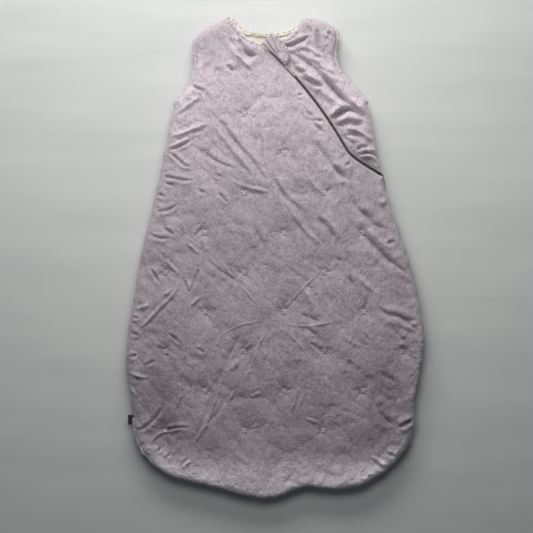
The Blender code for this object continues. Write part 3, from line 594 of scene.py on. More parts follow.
def open_share(points):
    """1 where the rim is an open edge, at neck, armholes and the zip's seam, and 0 where it's sewn."""
    x, y = points[:, 0], points[:, 1]
    share = np.zeros(len(points))
    for node in ("left_armhole_binding", "right_armhole_binding"):
        share[beside_armhole(points, node)] = 1
    low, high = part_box("back_neck_facing")
    share[(x > low.x) & (x < high.x) & (y > low.y - 5 * MM)] = 1
    seam = ((points - FOLD_TOP) @ FOLD_ACROSS > SEAM_CLEAR) & (y < ZIP_EXIT[1])
    share[seam & ((x > SIDE_X) | (y < HEM_Y))] = 1
    return share


def softened(values, reach):
    """Values along a closed rim, averaged over some neighbours on both sides."""
    total = np.zeros(len(values))
    for shift in range(-reach, reach + 1):
        total += np.roll(values, shift)
    return total / (2 * reach + 1)


def crown(far, edge, top, radius):
    """Height of a padded panel at a distance from its rim: up from the edge in a quarter round."""
    share = np.clip(far / radius, 0, 1)
    return edge + (top - edge) * np.sqrt(np.clip(1 - (1 - share) ** 2, 0, 1))


def closed_pad(name, places, triangles, border, outer, inner, upward=True):
    """A pad whose outer and inner skins share their rim. Outer and inner are heights at the places."""
    count = len(places)
    second = np.arange(count) + count
    second[border] = border
    flipped = second[triangles][:, ::-1]
    faces = np.vstack([triangles, flipped])
    if not upward:
        faces = faces[:, ::-1]
    used = np.concatenate([np.arange(count), np.setdiff1d(np.arange(count), border) + count])
    renumber = np.full(2 * count, -1)
    renumber[used] = np.arange(len(used))
    points = np.column_stack([np.vstack([places, places]), np.concatenate([outer, inner])])[used]
    return add_mesh(name, points.tolist(), renumber[faces].tolist())


def add_field(obj, name, values):
    layer = obj.data.attributes.new(name, "FLOAT", "POINT")
    layer.data.foreach_set("value", np.asarray(values, np.float32))


def keep_rest(obj):
    """Stores each point's place at rest, so that a material's pattern stays on the cloth as it moves."""
    co = np.zeros(len(obj.data.vertices) * 3, np.float32)
    obj.data.vertices.foreach_get("co", co)
    layer = obj.data.attributes.new("rest_place", "FLOAT_VECTOR", "POINT")
    layer.data.foreach_set("vector", co)


def give_pad_fields(pad, border, lift, painted_light_and_nap):
    """The velour's fields on both skins of a pad. The inner skin has no rim points of its own."""
    rest = np.setdiff1d(np.arange(len(lift)), border)
    for name, values in (("pile_and_painted_sheen", lift), ("painted_light_and_nap", painted_light_and_nap)):
        add_field(pad, name, np.concatenate([values, values[rest]]))
    keep_rest(pad)


OUTLINE = spaced(outline_of("back_outer", 8 * MM), 3 * MM, closed=True)
SEWN_RADIUS = 17 * MM
OPEN_TIGHTER = 6 * MM                           # an open edge has a smaller crown radius than a sewn one
SEAM_GAP = 0.2 * MM                             # between the front's and the back's edge and the middle
NECK_RADIUS = 9 * MM
NECK_HEIGHT = ROOF_LINING - 0.4 * MM
INNER_RADIUS = 13 * MM
LEFT_LIP_RADIUS = 7 * MM
RIGHT_LIP_RADIUS = 13 * MM
FRONT_TOP = TOP - 0.8 * MM
PAD_INNER = ROOF_LINING + 0.1 * MM
PAD_THIN = 0.8 * MM                             # least thickness of a pad inside its rim
EASE = 9 * MM                                   # relief fades in over this distance from the rim


def wander(points):
    """Small sideways drift of the cloth near the bag's outline, which makes its edge uneven."""
    far, _ = to_line(points, OUTLINE)
    weight = (1 - smooth_step(far / (26 * MM)))[:, None]
    drift = both_ways(points, 24 * MM, 11) * 1.6 * MM
    drift += both_ways(points, 9 * MM, 13) * 0.7 * MM
    return points + drift * weight


def rim_of(sections):
    """A panel's closed rim from sections of (points, edge height, radius), eased where sections meet."""
    loop = np.vstack([points for points, _, _ in sections])
    edge = np.concatenate([np.broadcast_to(height, len(points)) for points, height, _ in sections])
    radius = np.concatenate([np.broadcast_to(size, len(points)) for points, _, size in sections])
    return loop, softened(edge, 3), softened(radius, 3)


def outline_run(first, last):
    """The outline clockwise between the points nearest to two places."""
    start = int(np.argmin(np.linalg.norm(OUTLINE - first, axis=1)))
    end = int(np.argmin(np.linalg.norm(OUTLINE - last, axis=1)))
    if end < start:
        end += len(OUTLINE)
    return OUTLINE[np.arange(start, end + 1) % len(OUTLINE)]


def seam_of(outer):
    """Edge height and crown radius of a front panel along a run of the outline."""
    free = softened(open_share(outer), 2)
    return MIDDLE + SEAM_GAP + free * OPEN_HALF, SEWN_RADIUS - OPEN_TIGHTER * free


def front_rim():
    """Rim of the front quilt: the left strip and the flap in one, down to the fold line and on."""
    neck = spaced(curve_through(metres(NECK_LEFT_MM)), 3 * MM)
    lip = zip_line(LEFT_LIP)
    outer = outline_run(ZIP_EXIT, metres(NECK_LEFT_MM[0]))
    seam, radius = seam_of(outer)
    return rim_of([(neck[1:], NECK_HEIGHT, NECK_RADIUS), (lip, LIP_HEIGHT, LEFT_LIP_RADIUS),
                   (outer[2:], seam[2:], radius[2:])])


def chest_rim():
    """Rim of the right chest quilt, from the neck down to the zip's exit and back along the zip."""
    neck = spaced(curve_through(metres(NECK_RIGHT_MM)), 3 * MM)
    lip = zip_line(RIGHT_LIP)[::-1]
    outer = outline_run(metres(NECK_RIGHT_MM[-1]), ZIP_EXIT)
    seam, radius = seam_of(outer)
    return rim_of([(outer[1:-2], seam[1:-2], radius[1:-2]), (lip[1:], LIP_HEIGHT, RIGHT_LIP_RADIUS),
                   (neck[1:-1], NECK_HEIGHT, NECK_RADIUS)])


# (depth and size in mm, stretch, heading)
NET_LAYERS = ((1.4, 44, 3.0, -1.0), (0.9, 26, 2.6, -0.75), (0.6, 18, 2.2, -1.6), (0.5, 10, 1.8, -0.9))
CLOTH_SHARE = 0.38                              # share of the simulated cloth's gain that the quilts use
TUFT_DEPTH = 4.6 * MM


def crease_net(points, seed):
    """A net of fine creases all over the cloth, deeper in some places than in others, in metres."""
    total = 0
    bent = points + both_ways(points, 30 * MM, seed + 5) * 6 * MM
    for depth, size, stretch, heading in NET_LAYERS:
        field = ripple(bent, size * MM, seed + size, stretch, heading)
        here = np.clip(0.55 + 0.9 * ripple(points, 3.1 * size * MM, seed + size + 1), 0, 1.3)
        total = total - depth * MM * np.exp(-np.abs(field) / 0.16) * here + 0.4 * depth * MM * np.abs(field)
    return total


def front_relief(points, far, creases, ridges, swollen, seed, boost=1.0):
    """Everything that stands up from or sinks into a front panel, in metres."""
    cloth = np.clip(CLOTH_SHARE * swollen(points), -2 * MM, 3 * MM)
    crumple = 0.5 * MM * ripple(points, 30 * MM, seed, 2.2, -1.0)
    crumple = crumple + 0.16 * MM * ripple(points, 6 * MM, seed + 2)
    crumple += crease_net(points, seed) + 1.5 * MM * ripple(points, 48 * MM, seed + 9, 3.6, -1.0)
    stray = stray_folds(points, 130, seed + 3, points.min(0), points.max(0))
    placed = boost * folds(points, creases, ridges)
    return smooth_step(far / EASE) * (cloth + placed + stray + crumple - TUFT_DEPTH * tuft_pull(points, 21))


def pile_and_painted_sheen(points, far):
    """Painted sheen and highlight where the pile also stands open: most along the hem, less along the other
    edges.
    """
    hem = smooth_step((-0.30 - points[:, 1]) / 0.09)
    side = 0.22
    edge = np.exp(-(far / (12 * MM)) ** 1.5)
    band = np.exp(-(far / (46 * MM)) ** 1.8)
    return (1 - hem) * side * edge + hem * (0.30 * edge + 0.80 * band)


def front_top(points):
    """Height of the front's middle: full over chest and belly, lower towards the hem and the shoulders."""
    y = points[:, 1]
    drop = 9.0 * MM * smooth_step((-0.06 - y) / 0.36) ** 1.1 + 3.5 * MM * smooth_step((y - 0.26) / 0.16)
    return FRONT_TOP - drop


# How light the velour is along the bag, as (y, lightness). Set against the render; it is partly the lay of the
# pile and partly painted light and shade that stands in for the light of the room.
NAP_AND_PAINTED_LIGHT_ALONG = [(-0.45, 1.14), (-0.40, 1.27), (-0.34, 0.84), (-0.28, 0.80), (-0.13, 0.86), (0.05, 0.84),
             (0.20, 1.0), (0.28, 1.20), (0.34, 1.14), (0.42, 0.94)]


def pile_lay_and_painted_light(points, far):
    """How light the velour is, about 1: painted light and shade along the bag for the room's light, partly the
    lay of the pile, with painted shade in the lower corners and a little random tone.
    """
    y, share = np.array(NAP_AND_PAINTED_LIGHT_ALONG).T
    light = np.interp(points[:, 1], y, share)
    # painted shade at the two lower corners, in a band inside the edge
    corner = smooth_step((-0.12 - points[:, 1]) / 0.12) * smooth_step((points[:, 1] + 0.42) / 0.09)
    light *= 1 - 0.26 * corner * np.exp(-((far - 62 * MM) / (26 * MM)) ** 2)
    light *= 1 + 0.06 * ripple(points, 60 * MM, 51, 1.8, -1.0) + 0.05 * ripple(points, 24 * MM, 52, 1.6, -0.8)
    return light


def make_front_pad(name, rim, creases, ridges, seed, boost=1.0):
    loop, edge, radius = rim
    places, triangles, border = lattice(loop, FINE, RIM_RINGS)
    far, near = to_line(places, loop)
    far[border] = 0
    edge_here, radius_here = edge[near], radius[near]
    swollen = swell(loop, seed)
    outer = crown(far, edge_here, front_top(places), radius_here)
    outer += front_relief(places, far, creases, ridges, swollen, seed, boost)
    guard = metres(GUARD_MM)
    beside = np.where(inside(places, guard), 0, to_line(places, guard)[0])
    outer = np.minimum(outer, UNDER_GUARD + GUARD_RISE * smooth_step(beside / GUARD_EASE))
    inner = crown(far, edge_here, PAD_INNER, INNER_RADIUS)
    inner = np.minimum(inner, outer - PAD_THIN * (far > 0))
    outline_far, _ = to_line(places, OUTLINE)
    moved = wander(places)
    pad = closed_pad(name, moved, triangles, border, outer, inner)
    # painted shade in the creases and painted highlight on the ridges: the velour darker or lighter by the
    # folds' depth
    fold_mm = smooth_step(far / EASE) * boost * folds(places, creases, ridges) / MM
    painted_light_and_nap = pile_lay_and_painted_light(places, outline_far) * np.clip(1 + 0.035 * fold_mm, 0.60, 1.10)
    give_pad_fields(pad, border, pile_and_painted_sheen(places, outline_far), painted_light_and_nap)
    tree = BVHTree.FromPolygons(np.column_stack([moved, outer]).tolist(), triangles.tolist())
    return pad, (lambda points: height_of(tree, points, TOP))


BACK_EDGE = MIDDLE - SEAM_GAP - softened(open_share(OUTLINE), 3) * OPEN_HALF


def make_back_pad():
    """The back's quilt, and the function that gives its underside's height."""
    places, triangles, border = lattice(OUTLINE, 1.3 * FINE, RIM_RINGS)
    far, near = to_line(places, OUTLINE)
    far[border] = 0
    outer = crown(far, BACK_EDGE[near], 0.0, SEWN_RADIUS)
    relief = 3.4 * MM * tuft_pull(places, 31)
    relief = relief + np.abs(stray_folds(places, 150, 32, places.min(0), places.max(0))) * 1.4
    fine = 0.5 * MM * np.abs(ripple(places, 22 * MM, 33, 2.0, -1.2))
    relief += fine + 0.25 * MM * np.abs(ripple(places, 8 * MM, 34))
    outer = np.maximum(outer + smooth_step(far / EASE) * relief, 0.0)
    inner = crown(far, BACK_EDGE[near], FLOOR_LINING - 0.1 * MM, INNER_RADIUS)
    inner = np.maximum(inner, outer + PAD_THIN * (far > 0))
    moved = wander(places)
    pad = closed_pad("back_quilt", moved, triangles, border, outer, inner, False)
    give_pad_fields(pad, border, pile_and_painted_sheen(places, far), 0.95 + 0.08 * ripple(places, 90 * MM, 35))
    tree = BVHTree.FromPolygons(np.column_stack([moved, outer]).tolist(), triangles.tolist())
    return pad, (lambda points: height_of(tree, points, TOP))


def make_lining(name, loop, edge, deep, sign, seed):
    """A cotton sheet just inside a quilt. Sign is -1 under a front quilt and 1 on the back one."""
    places, triangles, _ = lattice(loop, LINING_STEP, (1.5 * MM, 3.5 * MM))
    far, near = to_line(places, loop)
    height = crown(far, edge[near], deep, INNER_RADIUS) + sign * 0.9 * MM
    free = smooth_step(far / (12 * MM))
    slack = 1.1 * MM * np.abs(ripple(places, 42 * MM, seed, 1.8, 0.6))
    slack = slack + 0.5 * MM * np.abs(ripple(places, 15 * MM, seed + 1))
    stray = stray_folds(places, 60, seed + 2, places.min(0), places.max(0))
    slack += 1.2 * MM * np.clip(stray / MM, -0.4, 1.2)
    height += sign * free * (slack + 0.4 * MM) * (1 - tuft_pull(places, seed + 3)).clip(0.05, 1)
    faces = triangles if sign > 0 else triangles[:, ::-1]
    sheet = add_mesh(name, np.column_stack([wander(places), height]).tolist(), faces.tolist())
    thick = sheet.modifiers.new("cloth", "SOLIDIFY")
    thick.thickness = 0.5 * MM
    thick.offset = 1.0
    keep_rest(sheet)
    return sheet


# ---------------------------------------------------------------- materials

class Nodes:
    """Short calls for building one material's node tree."""

    def __init__(self, name, roughness, metallic=0.0):
        self.material = bpy.data.materials.new(name)
        self.material.use_nodes = True
        self.tree = self.material.node_tree
        self.shader = self.tree.nodes["Principled BSDF"]
        self.shader.inputs["Roughness"].default_value = roughness
        self.shader.inputs["Metallic"].default_value = metallic

    def add(self, kind, settings=None, **inputs):
        node = self.tree.nodes.new(kind)
        for key, value in (settings or {}).items():
            setattr(node, key, value)
        for key, value in inputs.items():
            self.set(node, key, value)
        return node

    def set(self, node, key, value):
        socket = node.inputs[int(key[1:])] if key[0] == "_" else node.inputs[key.replace("_", " ")]
        if isinstance(value, bpy.types.NodeSocket):
            self.tree.links.new(value, socket)
        else:
            socket.default_value = value

    def place(self, scale=(1, 1, 1), turn=(0, 0, 0)):
        """Coordinates at rest, in metres."""
        source = self.add("ShaderNodeAttribute", {"attribute_name": "rest_place"}).outputs["Vector"]
        return self.add("ShaderNodeMapping", Vector=source, Scale=scale, Rotation=turn).outputs["Vector"]

    def object_place(self, scale=(1, 1, 1)):
        source = self.add("ShaderNodeTexCoord").outputs["Object"]
        return self.add("ShaderNodeMapping", Vector=source, Scale=scale).outputs["Vector"]

    def noise(self, place, scale, detail=2.0, roughness=0.5, distortion=0.0):
        node = self.add("ShaderNodeTexNoise", Vector=place, Scale=scale, Detail=detail, Roughness=roughness,
                        Distortion=distortion)
        return node.outputs["Fac"]

    def range(self, value, low, high, to_low, to_high):
        node = self.add("ShaderNodeMapRange", _0=value, _1=low, _2=high, _3=to_low, _4=to_high)
        return node.outputs["Result"]

    def math(self, kind, a, b=0.0):
        return self.add("ShaderNodeMath", {"operation": kind}, _0=a, _1=b).outputs[0]

    def mix(self, share, a, b, blend="MIX"):
        node = self.add("ShaderNodeMix", {"data_type": "RGBA", "blend_type": blend}, _0=share, _6=a, _7=b)
        return node.outputs[2]

    def field(self, name):
        return self.add("ShaderNodeAttribute", {"attribute_name": name}).outputs["Fac"]

    def bump(self, height, strength, distance, normal=None):
        node = self.add("ShaderNodeBump", Height=height, Strength=strength, Distance=distance)
        if normal is not None:
            self.tree.links.new(normal, node.inputs["Normal"])
        return node.outputs["Normal"]

    def surface(self, specular, sheen=0.0):
        self.shader.inputs["Specular IOR Level"].default_value = specular
        self.shader.inputs["Sheen Weight"].default_value = sheen

    def finish(self, colour, normal=None, rough=None):
        self.set(self.shader, "Base_Color", colour)
        if normal is not None:
            self.set(self.shader, "Normal", normal)
        if rough is not None:
            self.set(self.shader, "Roughness", rough)
        return self.material


VELOUR_DARK = (0.205, 0.162, 0.182, 1)
VELOUR_MID = (0.470, 0.405, 0.440, 1)
VELOUR_LIGHT = (0.830, 0.755, 0.800, 1)
# pale colour of the painted sheen and highlight along the edges, partly open pile
VELOUR_OPEN_PILE_AND_SHEEN = (0.860, 0.780, 0.835, 1)
VELOUR_LAID = (0.34, 0.28, 0.31, 1)


def velour_material():
    """Short brushed pile: a marled grain, darker where the pile lies down, painted sheen and highlight along
    the edges where it also stands open, and painted light and shade over the whole.
    """
    n = Nodes("velour_pile", 0.95)
    place = n.place()
    grain = n.noise(place, 560, 2.0, 0.6)
    marl = n.noise(place, 300, 2.0, 0.6, 0.5)
    streaks = n.noise(n.place((1.0, 0.30, 1.0), (0, 0, 0.45)), 190, 3.0, 0.6)
    laid = n.noise(n.place((1.0, 0.45, 1.0), (0, 0, 0.7)), 20, 4.0, 0.6, 0.8)
    shade = n.math("MULTIPLY", grain, 0.38)
    shade = n.math("ADD", shade, n.math("MULTIPLY", marl, 0.40))
    shade = n.math("ADD", shade, n.math("MULTIPLY", streaks, 0.22))
    share = n.range(shade, 0.37, 0.63, 0.0, 1.0)
    colour = n.mix(share, VELOUR_DARK, VELOUR_LIGHT)
    colour = n.mix(0.56, colour, VELOUR_MID)
    colour = n.mix(n.range(laid, 0.35, 0.65, 0.0, 0.20), colour, VELOUR_LAID)
    # painted sheen and highlight along the hem and the edges, partly the pile standing open
    open_pile_and_sheen = n.math("MULTIPLY", n.field("pile_and_painted_sheen"), n.range(marl, 0.3, 0.7, 0.45, 1.0))
    colour = n.mix(open_pile_and_sheen, colour, VELOUR_OPEN_PILE_AND_SHEEN)
    # painted light and shade: lighter and darker along the bag, in the lower corners and in the creases
    painted_light_and_nap = n.field("painted_light_and_nap")
    lit = n.add("ShaderNodeCombineColor", Red=painted_light_and_nap, Green=painted_light_and_nap, Blue=painted_light_and_nap).outputs["Color"]
    colour = n.mix(1.0, colour, lit, "MULTIPLY")
    crush = n.noise(n.place((1.0, 0.5, 1.0), (0, 0, 0.55)), 95, 3.0, 0.6, 0.8)
    valley = n.noise(n.place((1.0, 0.5, 1.0), (0, 0, 0.5)), 42, 2.0, 0.55, 1.0)
    valley = n.math("ABSOLUTE", n.math("SUBTRACT", valley, 0.5))
    valley = n.range(valley, 0.0, 0.07, 0.0, 1.0)
    bumps = n.bump(valley, 0.5, 1.0 * MM)
    bumps = n.bump(crush, 0.75, 2.6 * MM, bumps)
    bumps = n.bump(marl, 0.6, 1.3 * MM, bumps)
    bumps = n.bump(grain, 0.6, 0.8 * MM, bumps)
    n.surface(0.1, 0.35)
    n.shader.inputs["Sheen Roughness"].default_value = 0.5
    n.shader.inputs["Sheen Tint"].default_value = (0.95, 0.86, 0.90, 1)
    return n.finish(colour, bumps)


def fleece_material():
    """Undyed brushed cotton that shows as a soft fringe at the neck."""
    n = Nodes("neck_fleece", 0.95)
    tufts = n.noise(n.place(), 380, 3.0)
    colour = n.mix(n.range(tufts, 0.35, 0.65, 0.0, 1.0), (0.70, 0.64, 0.56, 1), (0.92, 0.88, 0.81, 1))
    n.surface(0.15, 0.3)
    return n.finish(colour, n.bump(tufts, 0.6, 0.8 * MM))


def lining_material():
    """Cream cotton jersey: fine knitted ribs."""
    n = Nodes("lining_jersey", 0.88)
    place = n.place()
    ribs = n.add("ShaderNodeTexWave", {"bands_direction": "X"}, Vector=place, Scale=150, Distortion=1.2,
                 Detail=2.0)
    mottling = n.noise(place, 35, 4.0)
    colour = n.mix(n.range(mottling, 0.3, 0.7, 0.0, 1.0), (0.60, 0.55, 0.49, 1), (0.74, 0.69, 0.62, 1))
    colour = n.mix(n.math("MULTIPLY", ribs.outputs["Fac"], 0.22), colour, (0.46, 0.42, 0.37, 1))
    bumps = n.bump(ribs.outputs["Fac"], 0.35, 0.4 * MM)
    bumps = n.bump(n.noise(place, 900, 2.0), 0.3, 0.3 * MM, bumps)
    n.surface(0.2, 0.2)
    return n.finish(colour, bumps)


def simple_material(name, dark, light, roughness, metallic=0.0, scale=400.0, depth=0.2):
    """A finish with a fine mottled colour and a matching bump."""
    n = Nodes(name, roughness, metallic)
    grain = n.noise(n.object_place(), scale, 3.0)
    colour = n.mix(n.range(grain, 0.35, 0.65, 0.0, 1.0), dark, light)
    n.surface(0.5)
    rough = n.range(grain, 0.3, 0.7, roughness * 0.85, min(1.0, roughness * 1.15))
    return n.finish(colour, n.bump(grain, 0.3, depth * MM), rough)


def tape_material():
    """Dark tape in a diagonal weave."""
    n = Nodes("zip_tape_weave", 0.85)
    weave = n.add("ShaderNodeTexWave", {"bands_direction": "DIAGONAL"}, Vector=n.object_place(), Scale=420,
                  Distortion=0.5)
    colour = n.mix(weave.outputs["Fac"], (0.075, 0.045, 0.048, 1), (0.16, 0.105, 0.105, 1))
    return n.finish(colour, n.bump(weave.outputs["Fac"], 0.5, 0.15 * MM))


VELOUR = velour_material()
JERSEY = lining_material()
FLEECE = fleece_material()
TAPE = tape_material()
COIL = simple_material("zip_nylon", (0.03, 0.016, 0.018, 1), (0.075, 0.045, 0.048, 1), 0.45, scale=900)
METAL = simple_material("slider_lacquer", (0.11, 0.075, 0.08, 1), (0.22, 0.17, 0.17, 1), 0.32, 1.0, 260, 0.05)
THREAD = simple_material("stitch_thread", (0.46, 0.39, 0.42, 1), (0.70, 0.63, 0.66, 1), 0.6, scale=1500,
                         depth=0.1)
LABEL = simple_material("label_weave", (0.012, 0.012, 0.013, 1), (0.035, 0.035, 0.037, 1), 0.85, scale=1100,
                        depth=0.15)


def paint(obj, material):
    obj.data.materials.clear()
    obj.data.materials.append(material)


# ---------------------------------------------------------------- stitched crosses

def tube_sides(rows, sides):
    """Quads round a tube whose rings of points follow each other."""
    faces = []
    for row in range(rows - 1):
        for k in range(sides):
            a, b = row * sides + k, row * sides + (k + 1) % sides
            faces.append((a, b, b + sides, a + sides))
    return faces


def tube_faces(rows, sides):
    """Quads of a tube and a flat cap at each end."""
    last = (rows - 1) * sides
    return tube_sides(rows, sides) + [tuple(range(sides))[::-1], tuple(range(last, last + sides))]


STRAND_SIDES = 6


def strand(path, radius):
    """Vertices and faces of a closed round tube along a path, tapered at both ends."""
    path = [Vector(p) for p in path]
    vertices = []
    count = len(path)
    up = Vector((0, 0, 1))
    for i, point in enumerate(path):
        along = (path[min(i + 1, count - 1)] - path[max(i - 1, 0)]).normalized()
        side = along.cross(up)
        side = side.normalized() if side.length > 1e-4 else Vector((1, 0, 0))
        over = side.cross(along)
        size = radius * (0.45 if i in (0, count - 1) else 1.0)
        for k in range(STRAND_SIDES):
            turn = 2 * pi * k / STRAND_SIDES
            vertices.append(point + (side * cos(turn) + over * sin(turn)) * size)
    return vertices, tube_faces(count, STRAND_SIDES)


def mesh_of(name, pieces, material, smooth=True):
    """One object from several (vertices, faces), with its faces turned outwards."""
    vertices, faces = [], []
    for points, corners in pieces:
        base = len(vertices)
        vertices.extend(points)
        faces.extend(tuple(base + i for i in face) for face in corners)
    obj = add_mesh(name, [tuple(v) for v in vertices], faces, smooth)
    outwards = bmesh.new()
    outwards.from_mesh(obj.data)
    bmesh.ops.recalc_face_normals(outwards, faces=outwards.faces)
    outwards.to_mesh(obj.data)
    outwards.free()
    paint(obj, material)
    return obj


CROSS_REACH = 6.8 * MM
THREAD_RADIUS = 0.62 * MM


def cross_strands(site, height_at, table):
    """Three threads for each bar of a cross, lying on the cloth and diving into it at their ends."""
    pieces = []
    tilt = table.uniform(-0.15, 0.15)
    for bar, heading in enumerate((pi / 4 + tilt, -pi / 4 + tilt)):
        along = np.array((cos(heading), sin(heading)))
        across = np.array((-along[1], along[0]))
        for lane in (-0.95, 0.0, 0.95):
            reach = CROSS_REACH * table.uniform(0.86, 1.05)
            shift = lane * 1.1 * THREAD_RADIUS
            t = np.linspace(-1, 1, 9)
            plan = site + np.outer(t * reach, along) + across * (shift * (1 + 0.5 * np.abs(t[:, None])))
            lift = THREAD_RADIUS * (1.3 + 1.5 * bar * (1 - t ** 2))
            lift = lift - 1.6 * MM * np.clip(np.abs(t) - 0.8, 0, 1) * 5
            pieces.append(strand(np.column_stack([plan, height_at(plan) + lift]), THREAD_RADIUS))
    return pieces


# ---------------------------------------------------------------- edges, guard and wind flap

def give_fields(obj, lift, painted_light_and_nap=1.0):
    """The fields that the velour and fleece materials read, a little uneven over the piece: lift is a share of
    painted sheen and highlight, and the other field carries painted light and shade with the nap.
    """
    co = np.array([v.co for v in obj.data.vertices])
    rough = ripple(co[:, :2], 7 * MM, 57)
    add_field(obj, "pile_and_painted_sheen", np.clip(lift + 0.16 * rough, 0, 1))
    add_field(obj, "painted_light_and_nap", painted_light_and_nap * (1 + 0.05 * rough))
    keep_rest(obj)


ROLL_STEP = 1.3 * MM
ROLL_SIDES = 14


def rolled_edge(name, line, radius, seed, material, gather=0.16, lift=0.4):
    """A soft rolled edge along a line, drawn in by its stitches every few millimetres."""
    path = spaced(line, ROLL_STEP)
    count = len(path)
    along = unit(np.gradient(path, axis=0))
    side = unit(np.cross(along, (0, 0, 1.0)))
    over = np.cross(side, along)
    turn = np.arange(ROLL_SIDES) * 2 * pi / ROLL_SIDES
    run = np.arange(count)[:, None] * ROLL_STEP
    ring = np.stack([np.broadcast_to(run, (count, ROLL_SIDES)).ravel(), np.tile(turn * 4 * MM, count)], axis=1)
    bumps = ripple(ring, 6 * MM, seed) + 0.6 * ripple(ring, 2.6 * MM, seed + 1)
    bumps = bumps - 0.4 * np.abs(ripple(ring, 9 * MM, seed + 2))
    size = radius * (1 + gather * bumps.reshape(count, ROLL_SIDES))
    ends = np.minimum(np.arange(count), count - 1 - np.arange(count)) / 3.0
    size *= np.sqrt(np.clip(ends, 0.02, 1))[:, None]
    drift = np.stack([ripple(np.column_stack([run, run * 0]), 14 * MM, seed + 3 + k) for k in (0, 1)], axis=1)
    centre = path + (side * drift[:, :1] + over * 0.4 * drift[:, 1:]) * 0.22 * radius
    points = (centre[:, None] + side[:, None] * (np.cos(turn)[None, :, None] * size[..., None])
              + over[:, None] * (np.sin(turn)[None, :, None] * size[..., None]))
    obj = mesh_of(name, [(points.reshape(-1, 3), tube_faces(count, ROLL_SIDES))], material)
    # lift: painted sheen and highlight along the roll
    give_fields(obj, lift)
    return obj


def lifted(points, height):
    """Plan points with a height."""
    return np.column_stack([points, np.broadcast_to(height, len(points))])


def armhole_line(node, height):
    """Outline points along one armhole, at a height."""
    index = np.flatnonzero(beside_armhole(OUTLINE, node))
    if index[0] == 0:
        gap = int(np.argmax(np.diff(index)))
        if np.diff(index)[gap] > 5:
            index = np.roll(index, -gap - 1)
    return lifted(OUTLINE[index], height)


GUARD_MM = [(-25, 398), (-19, 406), (-8, 415), (4, 411), (15, 400), (24, 388), (28, 370), (19, 358),
            (8, 368), (-2, 378), (-14, 389)]
GUARD_KNOT_MM = (15, 371)
UNDER_GUARD = 41.5 * MM                         # the quilts stay below this under the guard
GUARD_RISE, GUARD_EASE = 12 * MM, 10 * MM       # and may be that much higher that far from it
PLEAT = radians(16)
GUARD_FLAT = 42.1 * MM                          # the guard's underside


def pleated_guard():
    """Puffy guard over the top of the zip: cloth in pleats that run together to a knot."""
    corners = metres(GUARD_MM)
    loop = spaced(curve_through(np.vstack([corners, corners[:1]]), 6)[:-1], 1.5 * MM, closed=True)
    if area_of(loop) > 0:
        loop = loop[::-1]
    places, triangles, border = lattice(loop, 1.2 * MM, (0.6 * MM,))
    far, _ = to_line(places, loop)
    far[border] = 0
    free = smooth_step(far / (2.5 * MM))
    offset = places - metres(GUARD_KNOT_MM)
    reach = np.linalg.norm(offset, axis=1)
    heading = np.arctan2(offset[:, 1], offset[:, 0]) + 0.006 * reach / MM
    fan = smooth_step((reach - 5 * MM) / (6 * MM))
    wave = np.cos(2 * pi * heading / PLEAT)
    pleats = (np.abs(wave) ** 0.7 * np.sign(wave)) * fan * np.clip(0.7 + reach / (60 * MM), 0, 1.3)
    lump = 1.3 * np.exp(-(reach / (8 * MM)) ** 2) + 0.9 * ripple(places, 5 * MM, 58) * (1 - fan)
    hollow = 2.6 * np.exp(-(np.linalg.norm(places - metres((7, 381)), axis=1) / (4 * MM)) ** 2)
    hollow += 2.4 * np.exp(-(np.linalg.norm(places - metres((18, 360)), axis=1) / (3 * MM)) ** 2)
    outer = crown(far, 42.5 * MM, 45.0 * MM, 4.5 * MM)
    outer += free * (2.0 * pleats + lump - hollow + 0.3 * ripple(places, 3.4 * MM, 59)) * MM
    outer = np.maximum(outer, GUARD_FLAT + 0.3 * MM)
    pad = closed_pad("pleated_guard", places, triangles, border, outer, np.full(len(places), GUARD_FLAT))
    paint(pad, VELOUR)
    give_fields(pad, 0.12, 0.98)
    return pad


WIND_LEFT, WIND_RIGHT = -15 * MM, 11 * MM       # the strip's long edges, across the zip
WIND_LINES = 7
WIND_HEIGHT = 21.6 * MM


def hanging_wind_flap():
    """Thin strip of lining cotton behind the zip, on the inside."""
    middle, left, right = zip_line(0.0), zip_line(WIND_LEFT), zip_line(WIND_RIGHT)
    lines = []
    for share in np.linspace(0, 1, WIND_LINES):
        line = left * (1 - share) + right * share
        lines.append(lifted(line, WIND_HEIGHT + 0.45 * MM * ripple(line, 26 * MM, 59)))
    points = np.stack(lines, axis=1)[2:-6]
    faces = []
    for row in range(len(points) - 1):
        for k in range(WIND_LINES - 1):
            a = row * WIND_LINES + k
            faces.append((a, a + 1, a + 1 + WIND_LINES, a + WIND_LINES))
    obj = mesh_of("wind_flap_sheet", [(points.reshape(-1, 3), faces)], JERSEY)
    thick = obj.modifiers.new("cloth", "SOLIDIFY")
    thick.thickness = 0.8 * MM
    keep_rest(obj)
    return obj


TAG_HALF = 0.55 * MM                            # from the fold's middle to each layer
TAG_CLOTH = 0.22 * MM                           # half the cloth's thickness
TAG_ROWS = 19


